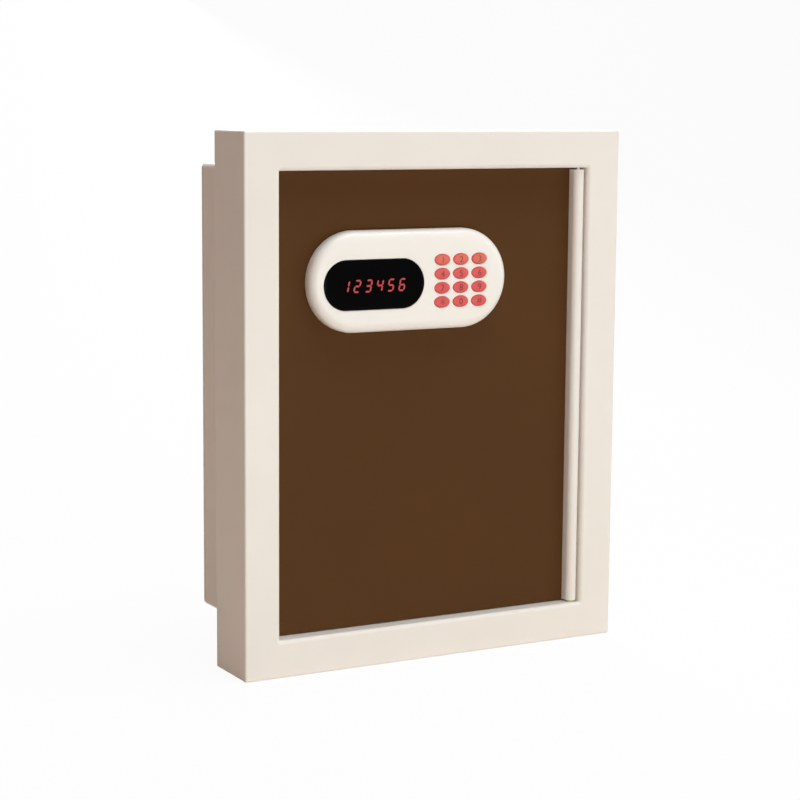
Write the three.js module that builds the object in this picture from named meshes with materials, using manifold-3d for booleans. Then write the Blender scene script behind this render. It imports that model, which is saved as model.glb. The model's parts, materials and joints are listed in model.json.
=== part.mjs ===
// A shallow hotel wall safe with a deep folded frame, a set-back door, a keypad and two motor-driven bolts.
// Millimetres. X runs right, Y runs into the wall and Z runs up, seen by someone who faces the door.
// The origin is the centre of the back panel's rear face. The door is closed, with its bolts drawn back.
import * as THREE from 'three';
import { mergeVertices } from 'three/addons/utils/BufferGeometryUtils.js';
import Module from 'manifold-3d';

const wasm = await Module();
wasm.setup();

// Overall sizes and the clearance that every seat keeps
const faceWidth = 400;
const faceHeight = 500;
const totalDepth = 170;
const seatGap = 0.3;
// How far joined shapes run into each other, and how far a cutting shape stands out of what it cuts
const weld = 0.5;
const through = 1;

// Folded front frame
const frameDepth = 65;
const borderWidth = 35.5;
const frameSheet = 2;
const outerBend = 2;
const lipBend = 4;
const openingCorner = 1;
const leastBend = 0.2;
const returnDepth = 22;
const bendSteps = 3;

// Box behind the frame
const boxSheet = 2;
const boxCorner = 3;
const backPlate = 3;
const anchorHole = 5;
const anchorPitchX = 220;
const anchorPitchZ = 300;
const matThickness = 3;
const matMargin = 4;

// Door leaf and its face
const doorGap = 1.5;
const facingSetback = 15;
const facingThickness = 1.2;
const facingEndGap = 0.6;
const leafThickness = 3;
const leafEdgeDepth = 12;
const leafCorner = 2;

// Hinge strip and its pivots
const stileWidth = 10;
const stileSetback = 3.5;
const stileBend = 3;
const stileEndGap = 1.8;
const stileWingGap = 0.5;
const washerInset = 0.5;
const pinRadius = 2;
const pinReach = 6.5;
const pinSeat = 14;
const bushWall = 1.2;
const bushFlange = 5;
const bushFlangeThickness = 1.6;
const bushBoss = 3;

// Angles that stop the door, and the keeper for the bolts
const stopReach = 10;
const stopThickness = 3;
const stopLeg = 14;
const stopLegThickness = 2;
const stopInset = 26;
const strikeEndMargin = 34;
const strikeClearance = 0.6;
const strikeRim = 4;

// Keypad housing
const keypadFromEdge = 30;
const keypadFromTop = 100.7;
const keypadLength = 208;
const keypadHeight = 94;
const keypadDepth = 14.7;
const keypadWall = 2.5;
const keypadRound = 8;
const keypadSteps = 14;
const keypadRoundSteps = 5;
const leastRound = 0.5;

// Display window and the module behind it
const windowX = -39.5;
const windowZ = -2.3;
const windowLength = 104;
const windowHeight = 46;
const windowProud = 0.7;
const windowBevel = 1.4;
const windowFlange = 2;
const windowFlangeThickness = 1.2;
const moduleLength = 80;
const moduleHeight = 26;

// Keys
const keyColumns = 3;
const keyPitchX = 20;
const keyPitchZ = 13.2;
const keyBlockX = 52;
const keyBlockZ = -1.4;
const keyLength = 16.3;
const keyHeight = 10.2;
const keyProud = 0.5;
const keyCrown = 0.6;
const keyCrownShareX = 0.66;
const keyCrownShareZ = 0.6;
const keyClearance = 0.35;
const keyFlange = 1;
const keyFlangeThickness = 1;
const keyStem = 3;
const keyTravel = 1.2;
const keySides = 12;

// Circuit board and rubber mat in the keypad
const boardSetback = 7.4;
const boardThickness = 1.6;
const matSheet = 1.2;
const domeHeight = 0.5;
const domeRadius = 2.5;

// Bolts, their bar and their guides
const boltRadius = 7;
const boltLength = 46.7;
const boltChamfer = 1.5;
const boltPitch = 190;
const boltThrow = 16.5;
const boltTipInset = 17.5;
const boltBehindLip = 0.7;
const spigotRadius = 3;
const rivetRadius = 4.5;
const rivetThickness = 1.5;
const barThickness = 3;
const barOverhang = 10;
const guideSheet = 3;
const guideWidth = 26;
const guideWall = 3;
const guideBase = 2;
const guideStandoff = 1;

// Gear train: the rack on the bar, the compound gear and the motor's pinion
const pressureAngle = THREE.MathUtils.degToRad(20);
const backlash = 0.3;
const dedendum = 1.25;
const rackModule = 1;
const pinionTeeth = 12;
const wheelModule = 0.8;
const wheelTeeth = 30;
const motorPinionTeeth = 10;
const rackHeight = 8;
const rackWidth = 5;
const rackMargin = 8;
const gearFromBar = 42;
const wheelWidth = 4;
const gearStep = 1;
const gearHub = 4;
const hubLength = 1.4;
const axleRadius = 2;
const axleHead = 3.4;
const axleHeadThickness = 1.2;
const lockPlateThickness = 2;
const lockPlateMarginX = 27;
const lockPlateMarginZ = 13;
const motorShaft = 1.5;
const motorStep = 0.5;
const shaftEngagement = 1.5;
const motorLength = 20.8;
const gearboxLength = 9;
const gearboxWidth = 12;
const gearboxHeight = 10;
const bracketSheet = 1.5;
const bracketFoot = 6;
const bracketFootThickness = 1.2;
const bracketLift = 1.6;

// Cover on the inside of the door
const coverFromFreeEdge = 17;
const coverFromHingeEdge = 43;
const coverHalfHeight = 165;
const coverDepth = 32.7;
const coverWall = 2;
const coverCorner = 8;
const screwInset = 12;
const screwRadius = 1.9;
const screwHead = 4;
const screwHeadHeight = 2.2;
const screwHeadTop = 3.2;
const screwHeadSide = 1.1;
const screwHeadDome = 0.33;
const screwSlotWidth = 1;
const screwSlotDepth = 0.99;
const bossWall = 2.8;

// Battery box, its cells and its sliding lid
const cellRadius = 7.25;
const cellLength = 49;
const cellNub = 1.5;
const cellNubRadius = 2.75;
const cellCount = 4;
const cellPitch = 15;
const cellChamfer = 0.5;
const batteryFromSide = 63.5;
const batteryFromBottom = 55;
const batteryWall = 1.5;
const batteryFlange = 4;
const lidThickness = 2;
const lidOverlap = 3.5;
const lidRibs = 3;
const lidRibPitch = 4;
const lidRibWidth = 1.5;
const lidRibHeight = 0.8;
const lidRibLength = 24;
const cellHeadroom = 0.6;
const railWall = 2;
const railLip = 1.4;
const railThickness = 1.2;

// Control board, its cable and the reset button
const controlFromSide = 115;
const controlBelowKeypad = 25;
const controlWidth = 100;
const controlHeight = 66;
const controlRise = 6.5;
const standoffRadius = 2.5;
const chipWidth = 16;
const chipThickness = 2;
const cableWidth = 12;
const cableThickness = 0.8;
const cableFromBoard = -29;
const cableDrop = 14;
const cableSlotMargin = 1;
const socketDepth = 2;
const resetFromBoardX = 37;
const resetFromBoardZ = 15;
const resetRadius = 3;
const resetFlange = 1.6;
const resetFlangeThickness = 1.5;
const resetProud = 1.2;
const resetChamfer = 0.5;
const resetTravel = 1.5;

// Planes and places that follow from the sizes
const frontY = -totalDepth;
const frameBackY = frontY + frameDepth;
const returnEndY = frontY + returnDepth;
const openingHalfX = faceWidth / 2 - borderWidth;
const openingHalfZ = faceHeight / 2 - borderWidth;
const boxOuterX = openingHalfX + boxSheet;
const boxOuterZ = openingHalfZ + boxSheet;
const panelFrontY = -backPlate;

const doorHalfX = openingHalfX - doorGap;
const doorHalfZ = openingHalfZ - doorGap;
const facingY = frontY + facingSetback;
const facingHalfZ = openingHalfZ - facingEndGap;
const leafFrontY = facingY + facingThickness + seatGap;
const leafBackY = leafFrontY + leafThickness;
const leafEdgeY = leafFrontY + leafEdgeDepth;

const stileLeft = doorHalfX - stileWidth;
const stileFrontY = frontY + stileSetback;
const stileHalfZ = openingHalfZ - stileEndGap;
const hingeX = doorHalfX - stileWidth / 2;
const hingeY = stileFrontY + stileWidth / 2;
const stileWingX = openingHalfX - stileWingGap;
const bushBore = pinRadius + seatGap;
const bushRadius = bushBore + bushWall;

const stopY = leafEdgeY + seatGap;
const boltY = stopY + stopThickness + boltBehindLip + boltRadius;
const boltTipX = -openingHalfX + boltTipInset;
const shoulderX = boltTipX + boltLength;
const barLeft = shoulderX + seatGap;
const barRight = barLeft + barThickness;

const coverLeft = -doorHalfX + coverFromFreeEdge;
const coverRight = doorHalfX - coverFromHingeEdge;
const gearX = barRight + gearFromBar;

const keypadX = -doorHalfX + keypadFromEdge + keypadLength / 2;
const keypadZ = doorHalfZ - keypadFromTop;
const keypadBackY = facingY - seatGap;
const keypadFrontY = keypadBackY - keypadDepth;
const keypadInnerY = keypadFrontY + keypadWall;
const windowCentreX = keypadX + windowX;
const windowCentreZ = keypadZ + windowZ;
const keyCentreX = keypadX + keyBlockX;
const keyCentreZ = keypadZ + keyBlockZ;
const keyFlangeY = keypadInnerY + seatGap;
const boardFrontY = keypadInnerY + boardSetback;
const boardBackY = boardFrontY + boardThickness;
const matFrontY = boardFrontY - seatGap - matSheet;
const keyBackY = matFrontY - domeHeight - keyTravel - seatGap;

const lockPlateY = leafBackY + seatGap;
const gearSeatY = lockPlateY + lockPlateThickness + seatGap;
const wheelY = gearSeatY + hubLength;
const rackY = wheelY + wheelWidth + gearStep;
const rackEndY = rackY + rackWidth;
const rackRoot = -dedendum * rackModule;
const gearZ = rackModule * pinionTeeth / 2;
const motorZ = gearZ + wheelModule * (wheelTeeth + motorPinionTeeth) / 2;
const motorFrontY = rackY + motorStep;

const coverInnerY = lockPlateY + coverDepth - coverWall;
const coverOuterY = lockPlateY + coverDepth;
const batteryX = coverRight - batteryFromSide;
const batteryZ = -coverHalfHeight + batteryFromBottom;
const batteryHalfX = (cellLength + cellNub) / 2 + 2 * seatGap;
const batteryHalfZ = cellCount * cellPitch / 2 + seatGap;
const batteryRimY = coverInnerY - seatGap;
const batteryFloorY = batteryRimY - 2 * (cellRadius + seatGap) - cellHeadroom;
const lidHalfX = batteryHalfX + lidOverlap;
const lidHalfZ = batteryHalfZ + lidOverlap;
const lidY = coverOuterY + seatGap;
const lidTopY = lidY + lidThickness;
const controlX = coverRight - controlFromSide;
const controlZ = keypadZ - controlBelowKeypad;
const controlY = lockPlateY + controlRise;
const cableX = controlX + cableFromBoard;
const resetX = controlX + resetFromBoardX;
const resetZ = controlZ + resetFromBoardZ;

// Booleans on closed geometries
function toSolid(geometry) {
  const bare = geometry.clone();
  bare.deleteAttribute('normal');
  bare.deleteAttribute('uv');
  const merged = mergeVertices(bare, 1e-4);
  const mesh = new wasm.Mesh({
    numProp: 3,
    vertProperties: Float32Array.from(merged.attributes.position.array),
    triVerts: Uint32Array.from(merged.index.array),
  });
  return new wasm.Manifold(mesh);
}

function toGeometry(solid) {
  const mesh = solid.getMesh();
  const geometry = new THREE.BufferGeometry();
  geometry.setAttribute('position', new THREE.BufferAttribute(mesh.vertProperties, 3));
  geometry.setIndex(new THREE.BufferAttribute(mesh.triVerts, 1));
  geometry.computeVertexNormals();
  return geometry;
}

function join(first, ...others) {
  let solid = toSolid(first);
  for (const other of others) {
    solid = solid.add(toSolid(other));
  }
  return toGeometry(solid);
}

function cut(base, ...tools) {
  let solid = toSolid(base);
  for (const tool of tools) {
    solid = solid.subtract(toSolid(tool));
  }
  return toGeometry(solid);
}

function clip(base, limit) {
  return toGeometry(toSolid(base).intersect(toSolid(limit)));
}

// Plain solids between two limits
function block(x0, x1, y0, y1, z0, z1) {
  const geometry = new THREE.BoxGeometry(x1 - x0, y1 - y0, z1 - z0);
  return geometry.translate((x0 + x1) / 2, (y0 + y1) / 2, (z0 + z1) / 2);
}

function rodX(radius, x0, x1, y, z, sides = 20) {
  const geometry = new THREE.CylinderGeometry(radius, radius, x1 - x0, sides);
  return geometry.rotateZ(Math.PI / 2).translate((x0 + x1) / 2, y, z);
}

function rodY(radius, y0, y1, x, z, sides = 20) {
  const geometry = new THREE.CylinderGeometry(radius, radius, y1 - y0, sides);
  return geometry.translate(x, (y0 + y1) / 2, z);
}

function rodZ(radius, z0, z1, x, y, sides = 20) {
  const geometry = new THREE.CylinderGeometry(radius, radius, z1 - z0, sides);
  return geometry.rotateX(Math.PI / 2).translate(x, y, (z0 + z1) / 2);
}

// A turned piece: its profile holds (radius, distance along the axis) and closes on itself or on the axis.
function turned(profile, sides = 20) {
  const points = profile.map(([radius, along]) => new THREE.Vector2(radius, along));
  return new THREE.LatheGeometry(points, sides);
}

// Prisms: a section in (y, z) along X, in (x, z) along Y, or in (x, y) along Z
function prismX(section, x0, x1, curveSegments = 8) {
  const geometry = new THREE.ExtrudeGeometry(section, { depth: x1 - x0, bevelEnabled: false, curveSegments });
  const turn = new THREE.Matrix4().makeBasis(
    new THREE.Vector3(0, 1, 0),
    new THREE.Vector3(0, 0, 1),
    new THREE.Vector3(1, 0, 0),
  );
  return geometry.applyMatrix4(turn).translate(x0, 0, 0);
}

function prismY(section, y0, y1, curveSegments = 8) {
  const geometry = new THREE.ExtrudeGeometry(section, { depth: y1 - y0, bevelEnabled: false, curveSegments });
  return geometry.rotateX(Math.PI / 2).translate(0, y1, 0);
}

function prismZ(section, z0, z1, curveSegments = 8) {
  const geometry = new THREE.ExtrudeGeometry(section, { depth: z1 - z0, bevelEnabled: false, curveSegments });
  return geometry.translate(0, 0, z0);
}

function polygon(points) {
  return new THREE.Shape(points.map(([u, v]) => new THREE.Vector2(u, v)));
}

function roundedRectangle(u0, u1, v0, v1, radius) {
  const shape = new THREE.Shape();
  shape.moveTo(u0 + radius, v0);
  shape.lineTo(u1 - radius, v0);
  shape.absarc(u1 - radius, v0 + radius, radius, -Math.PI / 2, 0, false);
  shape.lineTo(u1, v1 - radius);
  shape.absarc(u1 - radius, v1 - radius, radius, 0, Math.PI / 2, false);
  shape.lineTo(u0 + radius, v1);
  shape.absarc(u0 + radius, v1 - radius, radius, Math.PI / 2, Math.PI, false);
  shape.lineTo(u0, v0 + radius);
  shape.absarc(u0 + radius, v0 + radius, radius, Math.PI, 1.5 * Math.PI, false);
  return shape;
}

// Skins a run of outlines with the same number of points, each going round its direction of travel.
// The run joins up with its own start, or both its ends are capped.
function skin(outlines, joined) {
  const count = outlines[0].length;
  const positions = outlines.flat().flatMap((point) => [point.x, point.y, point.z]);
  const index = [];
  const bands = joined ? outlines.length : outlines.length - 1;
  for (let band = 0; band < bands; band += 1) {
    const here = band * count;
    const there = ((band + 1) % outlines.length) * count;
    for (let i = 0; i < count; i += 1) {
      const j = (i + 1) % count;
      index.push(here + i, here + j, there + j);
      index.push(here + i, there + j, there + i);
    }
  }
  if (!joined) {
    const last = (outlines.length - 1) * count;
    const caps = [outlines[0], outlines[outlines.length - 1]].map((outline) => {
      const centre = new THREE.Vector3();
      outline.forEach((point) => centre.add(point));
      return centre.divideScalar(count);
    });
    const first = positions.length / 3;
    caps.forEach((centre) => positions.push(centre.x, centre.y, centre.z));
    for (let i = 0; i < count; i += 1) {
      const j = (i + 1) % count;
      index.push(first, j, i);
      index.push(first + 1, last + i, last + j);
    }
  }
  const geometry = new THREE.BufferGeometry();
  geometry.setAttribute('position', new THREE.Float32BufferAttribute(positions, 3));
  geometry.setIndex(index);
  geometry.computeVertexNormals();
  return geometry;
}

// A rectangle with round corners in the plane at y, anticlockwise in (x, z)
function rectangleLoop(halfX, halfZ, radius, y, steps) {
  const points = [];
  const corners = [[1, 1], [-1, 1], [-1, -1], [1, -1]];
  corners.forEach(([signX, signZ], corner) => {
    for (let step = 0; step <= steps; step += 1) {
      const angle = (corner + step / steps) * Math.PI / 2;
      points.push(new THREE.Vector3(
        signX * (halfX - radius) + radius * Math.cos(angle),
        y,
        signZ * (halfZ - radius) + radius * Math.sin(angle),
      ));
    }
  });
  return points;
}

// A slot outline, two half circles joined by straight sides, in the plane at y
function slotLoop(centreX, centreZ, length, height, y, steps) {
  const radius = height / 2;
  const reach = length / 2 - radius;
  const points = [];
  for (const side of [1, -1]) {
    for (let step = 0; step <= steps; step += 1) {
      const angle = -Math.PI / 2 + Math.PI * step / steps + (side < 0 ? Math.PI : 0);
      points.push(new THREE.Vector3(
        centreX + side * reach + radius * Math.cos(angle),
        y,
        centreZ + radius * Math.sin(angle),
      ));
    }
  }
  return points;
}

function ovalLoop(centreX, centreZ, halfX, halfZ, y, sides) {
  const points = [];
  for (let side = 0; side < sides; side += 1) {
    const angle = 2 * Math.PI * side / sides;
    points.push(new THREE.Vector3(centreX + halfX * Math.cos(angle), y, centreZ + halfZ * Math.sin(angle)));
  }
  return points;
}

// Front frame: the folded sheet's section, as (distance in from the outer side, depth), goes round the face
function frameSection() {
  const section = [];
  const bend = (inset, y, radius, from, to) => {
    for (let step = 0; step <= bendSteps; step += 1) {
      const angle = from + (to - from) * step / bendSteps;
      section.push([inset + radius * Math.cos(angle), y + radius * Math.sin(angle)]);
    }
  };
  const innerBend = (radius) => Math.max(radius - frameSheet, leastBend);
  const backReturn = borderWidth - boxSheet - seatGap;
  const outerCentre = Math.max(outerBend, frameSheet + leastBend);
  section.push([backReturn, frameBackY]);
  bend(outerBend, frameBackY - outerBend, outerBend, Math.PI / 2, Math.PI);
  bend(outerBend, frontY + outerBend, outerBend, Math.PI, 1.5 * Math.PI);
  bend(borderWidth - lipBend, frontY + lipBend, lipBend, 1.5 * Math.PI, 2 * Math.PI);
  section.push([borderWidth, returnEndY]);
  section.push([borderWidth - frameSheet, returnEndY]);
  bend(borderWidth - lipBend, frontY + lipBend, innerBend(lipBend), 2 * Math.PI, 1.5 * Math.PI);
  bend(outerCentre, frontY + outerCentre, innerBend(outerBend), 1.5 * Math.PI, Math.PI);
  bend(outerCentre, frameBackY - outerCentre, innerBend(outerBend), Math.PI, Math.PI / 2);
  section.push([backReturn, frameBackY - frameSheet]);
  return section;
}

function frontFrame() {
  const cornerAt = (inset) => {
    const outside = outerBend - inset;
    const inside = openingCorner + borderWidth - inset;
    return Math.max(inset < borderWidth / 2 ? outside : inside, leastBend);
  };
  const loops = frameSection().map(([inset, y]) => (
    rectangleLoop(faceWidth / 2 - inset, faceHeight / 2 - inset, cornerAt(inset), y, 2)
  ));
  const holeReach = frameSheet + lipBend;
  const hole = rodZ(
    bushRadius + seatGap,
    -openingHalfZ - holeReach,
    openingHalfZ + holeReach,
    hingeX,
    hingeY,
  );
  return cut(skin(loops, true), hole);
}

// The box behind the frame, in line with the opening
function innerBox() {
  const section = roundedRectangle(-boxOuterX, boxOuterX, -boxOuterZ, boxOuterZ, boxCorner + boxSheet);
  section.holes.push(roundedRectangle(-openingHalfX, openingHalfX, -openingHalfZ, openingHalfZ, boxCorner));
  return prismY(section, returnEndY + seatGap, panelFrontY - seatGap, 4);
}

function backPanel() {
  const section = roundedRectangle(-boxOuterX, boxOuterX, -boxOuterZ, boxOuterZ, boxCorner + boxSheet);
  for (const signX of [-1, 1]) {
    for (const signZ of [-1, 1]) {
      const hole = new THREE.Path();
      hole.absarc(signX * anchorPitchX / 2, signZ * anchorPitchZ / 2, anchorHole, 0, 2 * Math.PI, false);
      section.holes.push(hole);
    }
  }
  return prismY(section, panelFrontY, 0, 4);
}

function floorMat() {
  const halfX = openingHalfX - boxCorner - matMargin;
  const bottom = -openingHalfZ + seatGap;
  const matFront = stopY + stopLeg + matMargin;
  const matBack = panelFrontY - matMargin;
  return block(-halfX, halfX, matFront, matBack, bottom, bottom + matThickness);
}

// Pivots: flanged bushes in the frame's return, pins in the strip's ends, and a washer under the strip
function pivotBush(sign) {
  const wallOut = frameSheet + seatGap;
  const flangeOut = wallOut + bushFlangeThickness;
  const profile = [
    [bushBore, 0],
    [bushRadius, 0],
    [bushRadius, wallOut],
    [bushFlange, wallOut],
    [bushFlange, flangeOut],
    [bushRadius, flangeOut],
    [bushRadius, flangeOut + bushBoss],
    [bushBore, flangeOut + bushBoss],
    [bushBore, 0],
  ];
  const geometry = turned(profile);
  const turn = sign > 0 ? Math.PI / 2 : -Math.PI / 2;
  return geometry.rotateX(turn).translate(hingeX, hingeY, sign * openingHalfZ);
}

function pivotPin(sign) {
  const inner = sign * (stileHalfZ - pinSeat);
  const outer = sign * (openingHalfZ + pinReach);
  return rodZ(pinRadius, Math.min(inner, outer), Math.max(inner, outer), hingeX, hingeY);
}

function thrustWasher() {
  const bottom = -openingHalfZ + seatGap;
  const top = -stileHalfZ - seatGap;
  const ring = rodZ(stileWidth / 2 - washerInset, bottom, top, hingeX, hingeY);
  return cut(ring, rodZ(bushBore, bottom - through, top + through, hingeX, hingeY));
}

// Behind its pivots the strip is wider, so that it nearly closes the gap to the frame
function hingeStile() {
  const back = leafFrontY - seatGap;
  const section = new THREE.Shape();
  section.moveTo(stileLeft, back);
  section.lineTo(stileLeft, stileFrontY + stileBend);
  section.absarc(stileLeft + stileBend, stileFrontY + stileBend, stileBend, Math.PI, 1.5 * Math.PI, false);
  section.lineTo(doorHalfX - stileBend, stileFrontY);
  section.absarc(doorHalfX - stileBend, stileFrontY + stileBend, stileBend, -Math.PI / 2, 0, false);
  section.lineTo(doorHalfX, hingeY);
  section.lineTo(stileWingX, hingeY);
  section.lineTo(stileWingX, back);
  const bore = pinSeat + seatGap;
  return cut(
    prismZ(section, -stileHalfZ, stileHalfZ, 5),
    rodZ(pinRadius + seatGap, stileHalfZ - bore, stileHalfZ + through, hingeX, hingeY),
    rodZ(pinRadius + seatGap, -stileHalfZ - through, -stileHalfZ + bore, hingeX, hingeY),
  );
}

// Places of the cover's screws, which the leaf and the cover are both drilled for
const screwPlaces = [coverLeft + screwInset, coverRight - screwInset].flatMap((x) => (
  [-1, 1].map((sign) => [x, sign * (coverHalfHeight - screwInset)])
));

// The slot that the cable passes through, in the door's face and leaf
function cableSlot() {
  const reach = cableWidth / 2 + cableSlotMargin;
  const drop = cableDrop / 2 + cableSlotMargin;
  return block(
    cableX - reach,
    cableX + reach,
    facingY - through,
    leafBackY + through,
    controlZ - drop,
    controlZ + drop,
  );
}

function doorFacing() {
  const right = stileLeft - seatGap;
  const panel = block(-doorHalfX, right, facingY, facingY + facingThickness, -facingHalfZ, facingHalfZ);
  return cut(panel, cableSlot());
}

function doorLeaf() {
  const tray = roundedRectangle(-doorHalfX, doorHalfX, -doorHalfZ, doorHalfZ, leafCorner);
  const innerX = doorHalfX - leafThickness;
  const innerZ = doorHalfZ - leafThickness;
  const hollow = block(-innerX, innerX, leafBackY, leafEdgeY + through, -innerZ, innerZ);
  const holes = screwPlaces.map(([x, z]) => (
    rodY(screwRadius + seatGap, leafFrontY - through, leafBackY + through, x, z, 16)
  ));
  return cut(prismY(tray, leafFrontY, leafEdgeY, 3), hollow, cableSlot(), ...holes);
}

// Angles behind the door's edge: sign +1 stands at the top and -1 at the bottom
function doorStop(sign) {
  const wall = sign * (openingHalfZ - seatGap);
  const lip = wall - sign * stopReach;
  const foot = wall - sign * stopLegThickness;
  const points = [
    [stopY, lip],
    [stopY + stopThickness, lip],
    [stopY + stopThickness, foot],
    [stopY + stopLeg, foot],
    [stopY + stopLeg, wall],
    [stopY, wall],
  ];
  const half = openingHalfX - stopInset;
  return prismX(polygon(sign > 0 ? points : points.reverse()), -half, half);
}

// The keeper: an angle on the wall with a window for each bolt, whose lip the bolts pass behind
function strikePlate() {
  const wall = -openingHalfX + seatGap;
  const points = [
    [wall, stopY],
    [wall + stopReach, stopY],
    [wall + stopReach, stopY + stopThickness],
    [wall + stopLegThickness, stopY + stopThickness],
    [wall + stopLegThickness, boltY + boltRadius + strikeRim],
    [wall, boltY + boltRadius + strikeRim],
  ];
  const half = boltPitch / 2 + strikeEndMargin;
  const reach = boltRadius + strikeClearance;
  const windows = [-1, 1].map((sign) => (
    block(
      wall - through,
      wall + stopLegThickness + through,
      boltY - reach,
      boltY + reach,
      sign * boltPitch / 2 - reach,
      sign * boltPitch / 2 + reach,
    )
  ));
  return cut(prismZ(polygon(points), -half, half), ...windows);
}

// Keypad housing: a slot-shaped shell whose front edge is rounded, pierced for the window and the keys
function slotStack(levels, centreX, centreZ, steps) {
  const loops = levels.map(([y, length, height]) => (
    slotLoop(centreX, centreZ, length, height, y, steps)
  ));
  return skin(loops, false);
}

function roundedShell(length, height, backY, frontFaceY, round) {
  const levels = [[backY, length, height]];
  for (let step = 0; step <= keypadRoundSteps; step += 1) {
    const angle = step / keypadRoundSteps * Math.PI / 2;
    const inward = 2 * round * (1 - Math.cos(angle));
    levels.push([frontFaceY + round * (1 - Math.sin(angle)), length - inward, height - inward]);
  }
  return slotStack(levels, keypadX, keypadZ, keypadSteps);
}

const keyNames = ['1', '2', '3', '4', '5', '6', '7', '8', '9', 'star', '0', 'hash'];
const keyRows = keyNames.length / keyColumns;

function keyPlace(order) {
  const column = order % keyColumns;
  const row = Math.floor(order / keyColumns);
  return [
    keyCentreX + (column - (keyColumns - 1) / 2) * keyPitchX,
    keyCentreZ + ((keyRows - 1) / 2 - row) * keyPitchZ,
  ];
}

function keypadHousing() {
  const outer = roundedShell(keypadLength, keypadHeight, keypadBackY, keypadFrontY, keypadRound);
  const inner = roundedShell(
    keypadLength - 2 * keypadWall,
    keypadHeight - 2 * keypadWall,
    keypadBackY + through,
    keypadInnerY,
    Math.max(keypadRound - keypadWall, leastRound),
  );
  const holeLength = windowLength + 2 * seatGap;
  const holeHeight = windowHeight + 2 * seatGap;
  const windowHole = slotStack(
    [keypadInnerY + through, keypadFrontY - through].map((y) => [y, holeLength, holeHeight]),
    windowCentreX,
    windowCentreZ,
    12,
  );
  const keyHoles = keyNames.map((name, order) => {
    const [x, z] = keyPlace(order);
    const halfX = keyLength / 2 + keyClearance;
    const halfZ = keyHeight / 2 + keyClearance;
    return skin([
      ovalLoop(x, z, halfX, halfZ, keypadInnerY + through, keySides),
      ovalLoop(x, z, halfX, halfZ, keypadFrontY - through, keySides),
    ], false);
  });
  return cut(outer, inner, windowHole, ...keyHoles);
}

function displayWindow() {
  const flangeY = keypadInnerY + seatGap;
  const wide = 2 * windowFlange;
  const narrow = 2 * windowBevel;
  const faceY = keypadFrontY - windowProud;
  return slotStack([
    [flangeY + windowFlangeThickness, windowLength + wide, windowHeight + wide],
    [flangeY, windowLength + wide, windowHeight + wide],
    [flangeY, windowLength, windowHeight],
    [keypadFrontY, windowLength, windowHeight],
    [faceY, windowLength - narrow, windowHeight - narrow],
  ], windowCentreX, windowCentreZ, 12);
}

function displayModule() {
  const front = keypadInnerY + 2 * seatGap + windowFlangeThickness;
  const halfX = moduleLength / 2;
  const halfZ = moduleHeight / 2;
  return block(
    windowCentreX - halfX,
    windowCentreX + halfX,
    front,
    boardFrontY - seatGap,
    windowCentreZ - halfZ,
    windowCentreZ + halfZ,
  );
}

function keypadBoard() {
  const inset = 2 * (keypadWall + seatGap);
  const length = keypadLength - inset;
  const height = keypadHeight - inset;
  return slotStack([[boardBackY, length, height], [boardFrontY, length, height]], keypadX, keypadZ, 12);
}

function keyMat() {
  const halfX = (keyColumns - 1) / 2 * keyPitchX + keyLength / 2;
  const halfZ = (keyRows - 1) / 2 * keyPitchZ + keyHeight / 2;
  const sheet = block(
    keyCentreX - halfX,
    keyCentreX + halfX,
    matFrontY,
    matFrontY + matSheet,
    keyCentreZ - halfZ,
    keyCentreZ + halfZ,
  );
  const domes = keyNames.map((name, order) => {
    const [x, z] = keyPlace(order);
    return rodY(domeRadius, matFrontY - domeHeight, matFrontY + weld, x, z, 8);
  });
  return join(sheet, ...domes);
}

// A key: a low domed oval cap, a flange that the housing traps, and a stem over the mat's dome
function key(order) {
  const [x, z] = keyPlace(order);
  const halfX = keyLength / 2;
  const halfZ = keyHeight / 2;
  const rimY = keypadFrontY - keyProud;
  const stemY = keyFlangeY + keyFlangeThickness;
  const levels = [
    [keyBackY, keyStem, keyStem],
    [stemY, keyStem, keyStem],
    [stemY, halfX + keyFlange, halfZ + keyFlange],
    [keyFlangeY, halfX + keyFlange, halfZ + keyFlange],
    [keyFlangeY, halfX, halfZ],
    [rimY, halfX, halfZ],
    [rimY - keyCrown, halfX * keyCrownShareX, halfZ * keyCrownShareZ],
  ];
  return skin(levels.map(([y, a, b]) => ovalLoop(x, z, a, b, y, keySides)), false);
}

// Bolts: rods with a chamfered end, riveted into the bar by a spigot
function bolt(sign) {
  const profile = [
    [0, 0],
    [boltRadius - boltChamfer, 0],
    [boltRadius, boltChamfer],
    [boltRadius, boltLength],
    [spigotRadius, boltLength],
    [spigotRadius, boltLength + barThickness + 2 * seatGap],
    [rivetRadius, boltLength + barThickness + 2 * seatGap],
    [rivetRadius, boltLength + barThickness + 2 * seatGap + rivetThickness],
    [0, boltLength + barThickness + 2 * seatGap + rivetThickness],
  ];
  return turned(profile).rotateZ(-Math.PI / 2).translate(boltTipX, boltY, sign * boltPitch / 2);
}

// A rack tooth stands on the pitch line z = 0 and points up; the pinion above it has a tooth in this gap
function rackOutline(x0, x1) {
  const pitch = Math.PI * rackModule;
  const slope = Math.tan(pressureAngle);
  const half = pitch / 4 - backlash / 4;
  const tip = half - rackModule * slope;
  const foot = half - rackRoot * slope;
  const points = [[x0, rackRoot]];
  const first = Math.ceil((x0 - gearX) / pitch + 0.5);
  for (let tooth = first; gearX + (tooth + 0.5) * pitch + foot < x1; tooth += 1) {
    const x = gearX + (tooth + 0.5) * pitch;
    points.push([x - foot, rackRoot], [x - tip, rackModule], [x + tip, rackModule], [x + foot, rackRoot]);
  }
  points.push([x1, rackRoot], [x1, rackRoot - rackHeight], [x0, rackRoot - rackHeight]);
  return polygon(points.reverse());
}

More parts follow.
